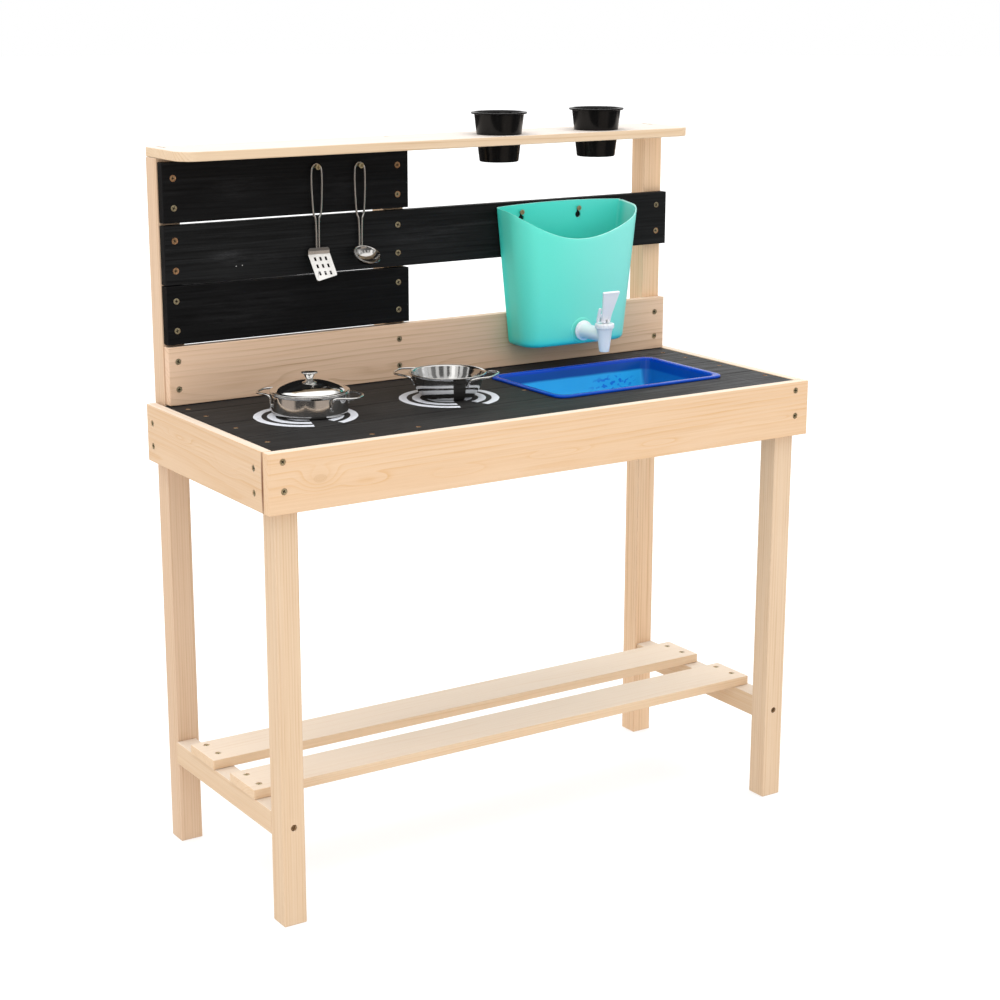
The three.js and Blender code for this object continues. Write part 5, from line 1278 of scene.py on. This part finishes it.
BX0, BX1, BY0, BY1, BT, BB = 56.5, 353.0, 83.5, 271.0, 649.2, 587.2
levels = [(31, 9, BB + 0.1), (29, 10, BB), (25, 11, BB + 0.7), (22.8, 12, BB + 3), (21.6, 12.6, BB + 7), (7.9, 17.4, 640), (7.0, 18, 643), (6.6, 17.6, 645.6), (1.1, 17.5, 645.6), (0.25, 18.2, 645.9),
          (0.0, 18.4, 646.8), (0.1, 18.4, 647.9), (0.6, 18.2, 648.8), (1.6, 18.0, 649.2), (4.2, 17.8, 649.2), (6.9, 17.7, 649.15), (8.3, 17.6, 648.7), (9.1, 16.8, 647.7), (9.5, 16.4, 646.2), (10.6, 16, 641), (17.0, 14.2, BB + 21),
          (20.9, 13, BB + 8.5), (22.1, 12.4, BB + 5.8), (24.2, 11.4, BB + 3.6), (27.5, 10, BB + 2.4), (32, 8, BB + 2.2)]
rings = []
for inset, r, z in levels:
    sag = 0.0
    rings.append([(x, y, z) for x, y in rrect(BX0 + inset, BX1 - inset, BY0 + inset, BY1 - inset, r)])
bm_basin = mesh_of("basin", *loft(rings))
finish_object("basin_tub", bm_basin, [M_BLUE], "sink", replaces=("basin",), smooth=50)

# ------------------------------------------------------------------ pot, lid and pan
PX, PY = -277.0, 194.7
M_POTB = steel("steel_pot", "spun", tuple(V(PX, PY, 0)), rough=0.06, base=(0.62, 0.605, 0.585))
M_LID = steel("steel_lid", "spun", tuple(V(PX, PY, 0)), rough=0.07, base=(0.8, 0.795, 0.78))
z0, z1 = 645.3, 675.6
prof = steady([(0, z0 + 0.5), (20, z0 + 0.4), (44, z0), (48.6, z0), (49.8, z0 + 0.25), (50.8, z0 + 0.9), (51.5, z0 + 1.8), (51.9, z0 + 2.8), (52, z0 + 4.0), (50.75, z1 - 4.6), (50.7, z1 - 3.8),
               (51.0, z1 - 3.1), (51.8, z1 - 2.7), (53.2, z1 - 2.4), (53.9, z1 - 1.8), (54.15, z1 - 1.0), (53.9, z1 - 0.3), (53.2, z1), (51.2, z1), (50.3, z1 - 0.4), (49.8, z1 - 1.4), (49.6, z1 - 3.6),
               (50.9, z0 + 4.4), (50.6, z0 + 3), (49.6, z0 + 1.8), (47.8, z0 + 1.2), (0, z0 + 1.2)])
finish_object("pot_shell", mesh_of("pot", *lathe(prof, 120), place=Matrix.Translation((PX, PY, 0))), [M_POTB], "pot", replaces=("pot_body",), smooth=60)
b = z1 + 0.3
dome = [(48.5, 1.55), (47.6, 2.6), (46.0, 4.2), (43.5, 6.1), (40.0, 7.9), (36.0, 9.6), (30.0, 11.6), (24.0, 13.3), (18.0, 14.6), (12.0, 15.5), (6.0, 15.95), (0.0, 16.0)]
prof = [(0, b + 14.7)] + [(x * 0.985, b + h - 1.25) for x, h in curve(dome[:-1][::-1], 3) if h > 3] + [(46.4, b + 1.3), (47.9, b + 0.5), (49.2, b + 0.1), (50.2, b), (53.4, b), (54.1, b + 0.3),
        (54.25, b + 0.6), (54.1, b + 0.95), (53.6, b + 1.3), (52.8, b + 1.58), (51.8, b + 1.7), (50.8, b + 1.6), (50.0, b + 1.4), (49.3, b + 1.3)] + [(x, b + h) for x, h in curve(dome, 3)]
finish_object("pot_lid_dome", mesh_of("lid", *lathe(prof, 120), place=Matrix.Translation((PX, PY, 0))), [M_LID], "lid", replaces=("pot_lid",), smooth=60)
k = b + 16.3
prof = [(0, k), (4.8, k), (4.95, k + 0.3), (5.0, k + 1.0), (5.6, k + 2.2), (6.7, k + 4.0), (8.3, k + 6.6), (8.9, k + 7.2), (10.6, k + 7.5), (11.3, k + 7.9), (11.5, k + 8.4), (11.4, k + 9.1),
        (10.8, k + 9.6), (9.6, k + 9.85), (5, k + 10.1), (0, k + 10.2)]
finish_object("lid_knob_turned", mesh_of("knob", *lathe(prof, 72), place=Matrix.Translation((PX, PY, 0))), [M_LID], "lid", replaces=("lid_knob",), smooth=50)
prof = [(0, b + 12.0), (3.2, b + 12.1), (3.6, b + 12.6), (3.6, b + 14), (1.35, b + 14.1), (1.35, k + 6.4), (0, k + 6.6)]
finish_object("lid_knob_screw_piece", mesh_of("knobscrew", *lathe(prof, 32), place=Matrix.Translation((PX, PY, 0))), [M_SCREW], "lid", replaces=("lid_knob_screw",))


def loop_path(cx, cy, deg, half):
    """Wire loop from half of its points: outwards, across, height."""
    a = radians(deg)

    def at(q, m):
        return (cx + q[0] * cos(a) - m * q[1] * sin(a), cy + q[0] * sin(a) + m * q[1] * cos(a), q[2])
    far = half[-1]
    return [at(q, -1) for q in half] + [at((far[0] + 0.3, 0, far[2]), 1)] + [at(q, 1) for q in half[::-1]]


POT_LOOP = [(44.6, 30.6, 656), (44.6, 30.6, 661.4), (44.6, 30.6, 667), (46.4, 30.2, 670.8), (50.4, 28, 672.2), (57.5, 23.6, 672.2), (65.5, 19, 671.8), (70.8, 14.6, 671.6), (73.4, 7.4, 671.4)]
for side, deg in (("left", 130), ("right", -50)):
    parts = [tube(smooth_path(loop_path(PX, PY, deg, POT_LOOP), 7), 1.5, 16)]
    for s in (-1, 1):
        a = radians(deg) + s * math.atan2(30.6, 44.6)
        pad = lathe([(0, 0.9), (1.6, 0.8), (2.2, 0.3), (2.3, -0.4), (0, -0.4)], 20)
        d = Vector((cos(a), sin(a), 0))
        m = Matrix.Translation(Vector((PX + 52.3 * cos(a), PY + 52.3 * sin(a), 658.5))) @ Vector((0, 0, 1)).rotation_difference(d).to_matrix().to_4x4()
        parts.append(moved(pad, m))
    finish_object(f"pot_handle_{side}_wire", merged("pot_handle", parts), [M_WIRE], "pot", replaces=(f"pot_handle_{side}",), smooth=50)

QX, QY = -62.5, 187.5
M_PAN = steel("steel_pan", "spun", tuple(V(QX, QY, 0)), rough=0.09, base=(0.56, 0.555, 0.545))
z1 = 681.0
wall = [(33, 0), (35.2, 0.8), (37.2, 2.4), (39.2, 4.8), (41.6, 8), (44.2, 12), (46.4, 16.4), (48.2, 21), (49.6, 26), (51.0, 31.6)]
lining = [(50.2, 31.6), (48.4, 26), (47.0, 21.2), (45.1, 16.8), (43.0, 12.6), (40.4, 8.8), (38.0, 5.5), (36.0, 3.3), (34.2, 1.9), (32.0, 1.3)]
prof = [(0, z0 + 0.4), (22, z0 + 0.3), (30, z0 + 0.05), (32, z0)] + [(x, z0 + h) for x, h in curve(wall, 4)] + [
        (51.4, z1 - 3.1), (52.2, z1 - 2.6), (53.4, z1 - 2.3), (54.3, z1 - 1.8), (54.6, z1 - 1.1), (54.3, z1 - 0.4), (53.6, z1), (52.4, z1 - 0.15), (51.2, z1 - 1.1), (50.6, z1 - 2.4)] + [
        (x, z0 + h) for x, h in curve(lining, 4)] + [(30, z0 + 1.3), (0, z0 + 1.3)]
finish_object("pan_shell", mesh_of("pan", *lathe(prof, 120), place=Matrix.Translation((QX, QY, 0))), [M_PAN], "pan", replaces=("pan_body",), smooth=60)
FOOT = [(40.8, 29.7, 666), (42.7, 31, 672), (45.4, 32.6, 675.8)]
for side, deg, far in (("left", 134, [(50.5, 31.4, 677.4), (58, 27.6, 677.8), (66, 24, 678.1), (72, 19.4, 678.3), (75, 11, 678.4)]),
                       ("right", -52, [(50.5, 31.6, 678), (57, 27, 679.3), (63.5, 23.4, 680), (68.3, 19.8, 680.3), (70.7, 12, 680.5)])):
    parts = [tube(smooth_path(loop_path(QX, QY, deg, FOOT + far), 7), 1.4, 16)]
    finish_object(f"pan_handle_{side}_wire", merged("pan_handle", parts), [M_WIRE], "pan", replaces=(f"pan_handle_{side}",), smooth=50)

# ------------------------------------------------------------------ hanging tools
def tool_wire(x, y, z, half, waist, neck, end):
    top = z + 3.7

    def side(s):
        return [(x + s * 2.1, y, end), (x + s * 2.1, y, (end + neck) / 2), (x + s * 2.3, y, neck - 14), (x + s * 3, y, neck), (x + s * waist, y, neck + 10),
                (x + s * half, y, neck + 42), (x + s * half, y, top - 12), (x + s * half * 0.72, y, top - 3.4)]
    pts = side(-1) + [(x, y, top)] + side(1)[::-1]
    return tube(smooth_path(pts, 9), 1.5, 16)


finish_object("spatula_wire", merged("spatula_wire", [tool_wire(-191.3, 323.4, 960.6, 8, 6.2, 889, 836)]), [M_WIRE], "spatula",
              replaces=("spatula_handle",), smooth=50)
finish_object("ladle_wire", merged("ladle_wire", [tool_wire(-122.6, 323.4, 959.6, 8, 6, 885, 838)]), [M_WIRE], "ladle",
              replaces=("ladle_handle",), smooth=50)
M_BLADE = steel("steel_blade", "plain", rough=0.2, base=(0.66, 0.65, 0.63), dull_above=0.8445)
refined("spatula_blade", [M_BLADE], "spatula", bevel=0.28, segs=2, smooth=35)
M_BOWL = steel("steel_bowl", "plain", rough=0.1, base=(0.52, 0.51, 0.495))
outer, inner = [], []
prof = [(0, -12), (5, -11.7), (10, -10.3), (14.4, -7.9), (17.6, -4.6), (19.4, -1.4), (20.1, -0.2), (20.2, 0.3), (19.8, 0.8), (19.2, 0.7), (18.5, -0.4), (16.8, -3.6), (13.8, -6.8), (9.6, -9.1), (4.8, -10.5), (0, -10.8)]
place = Matrix.Translation((-123.2, 304.0, 836.2)) @ Matrix.Rotation(radians(31), 4, "X")
finish_object("ladle_bowl_cup", mesh_of("bowl", *lathe(prof, 96), place=place), [M_BOWL], "ladle", replaces=("ladle_bowl",), smooth=60)
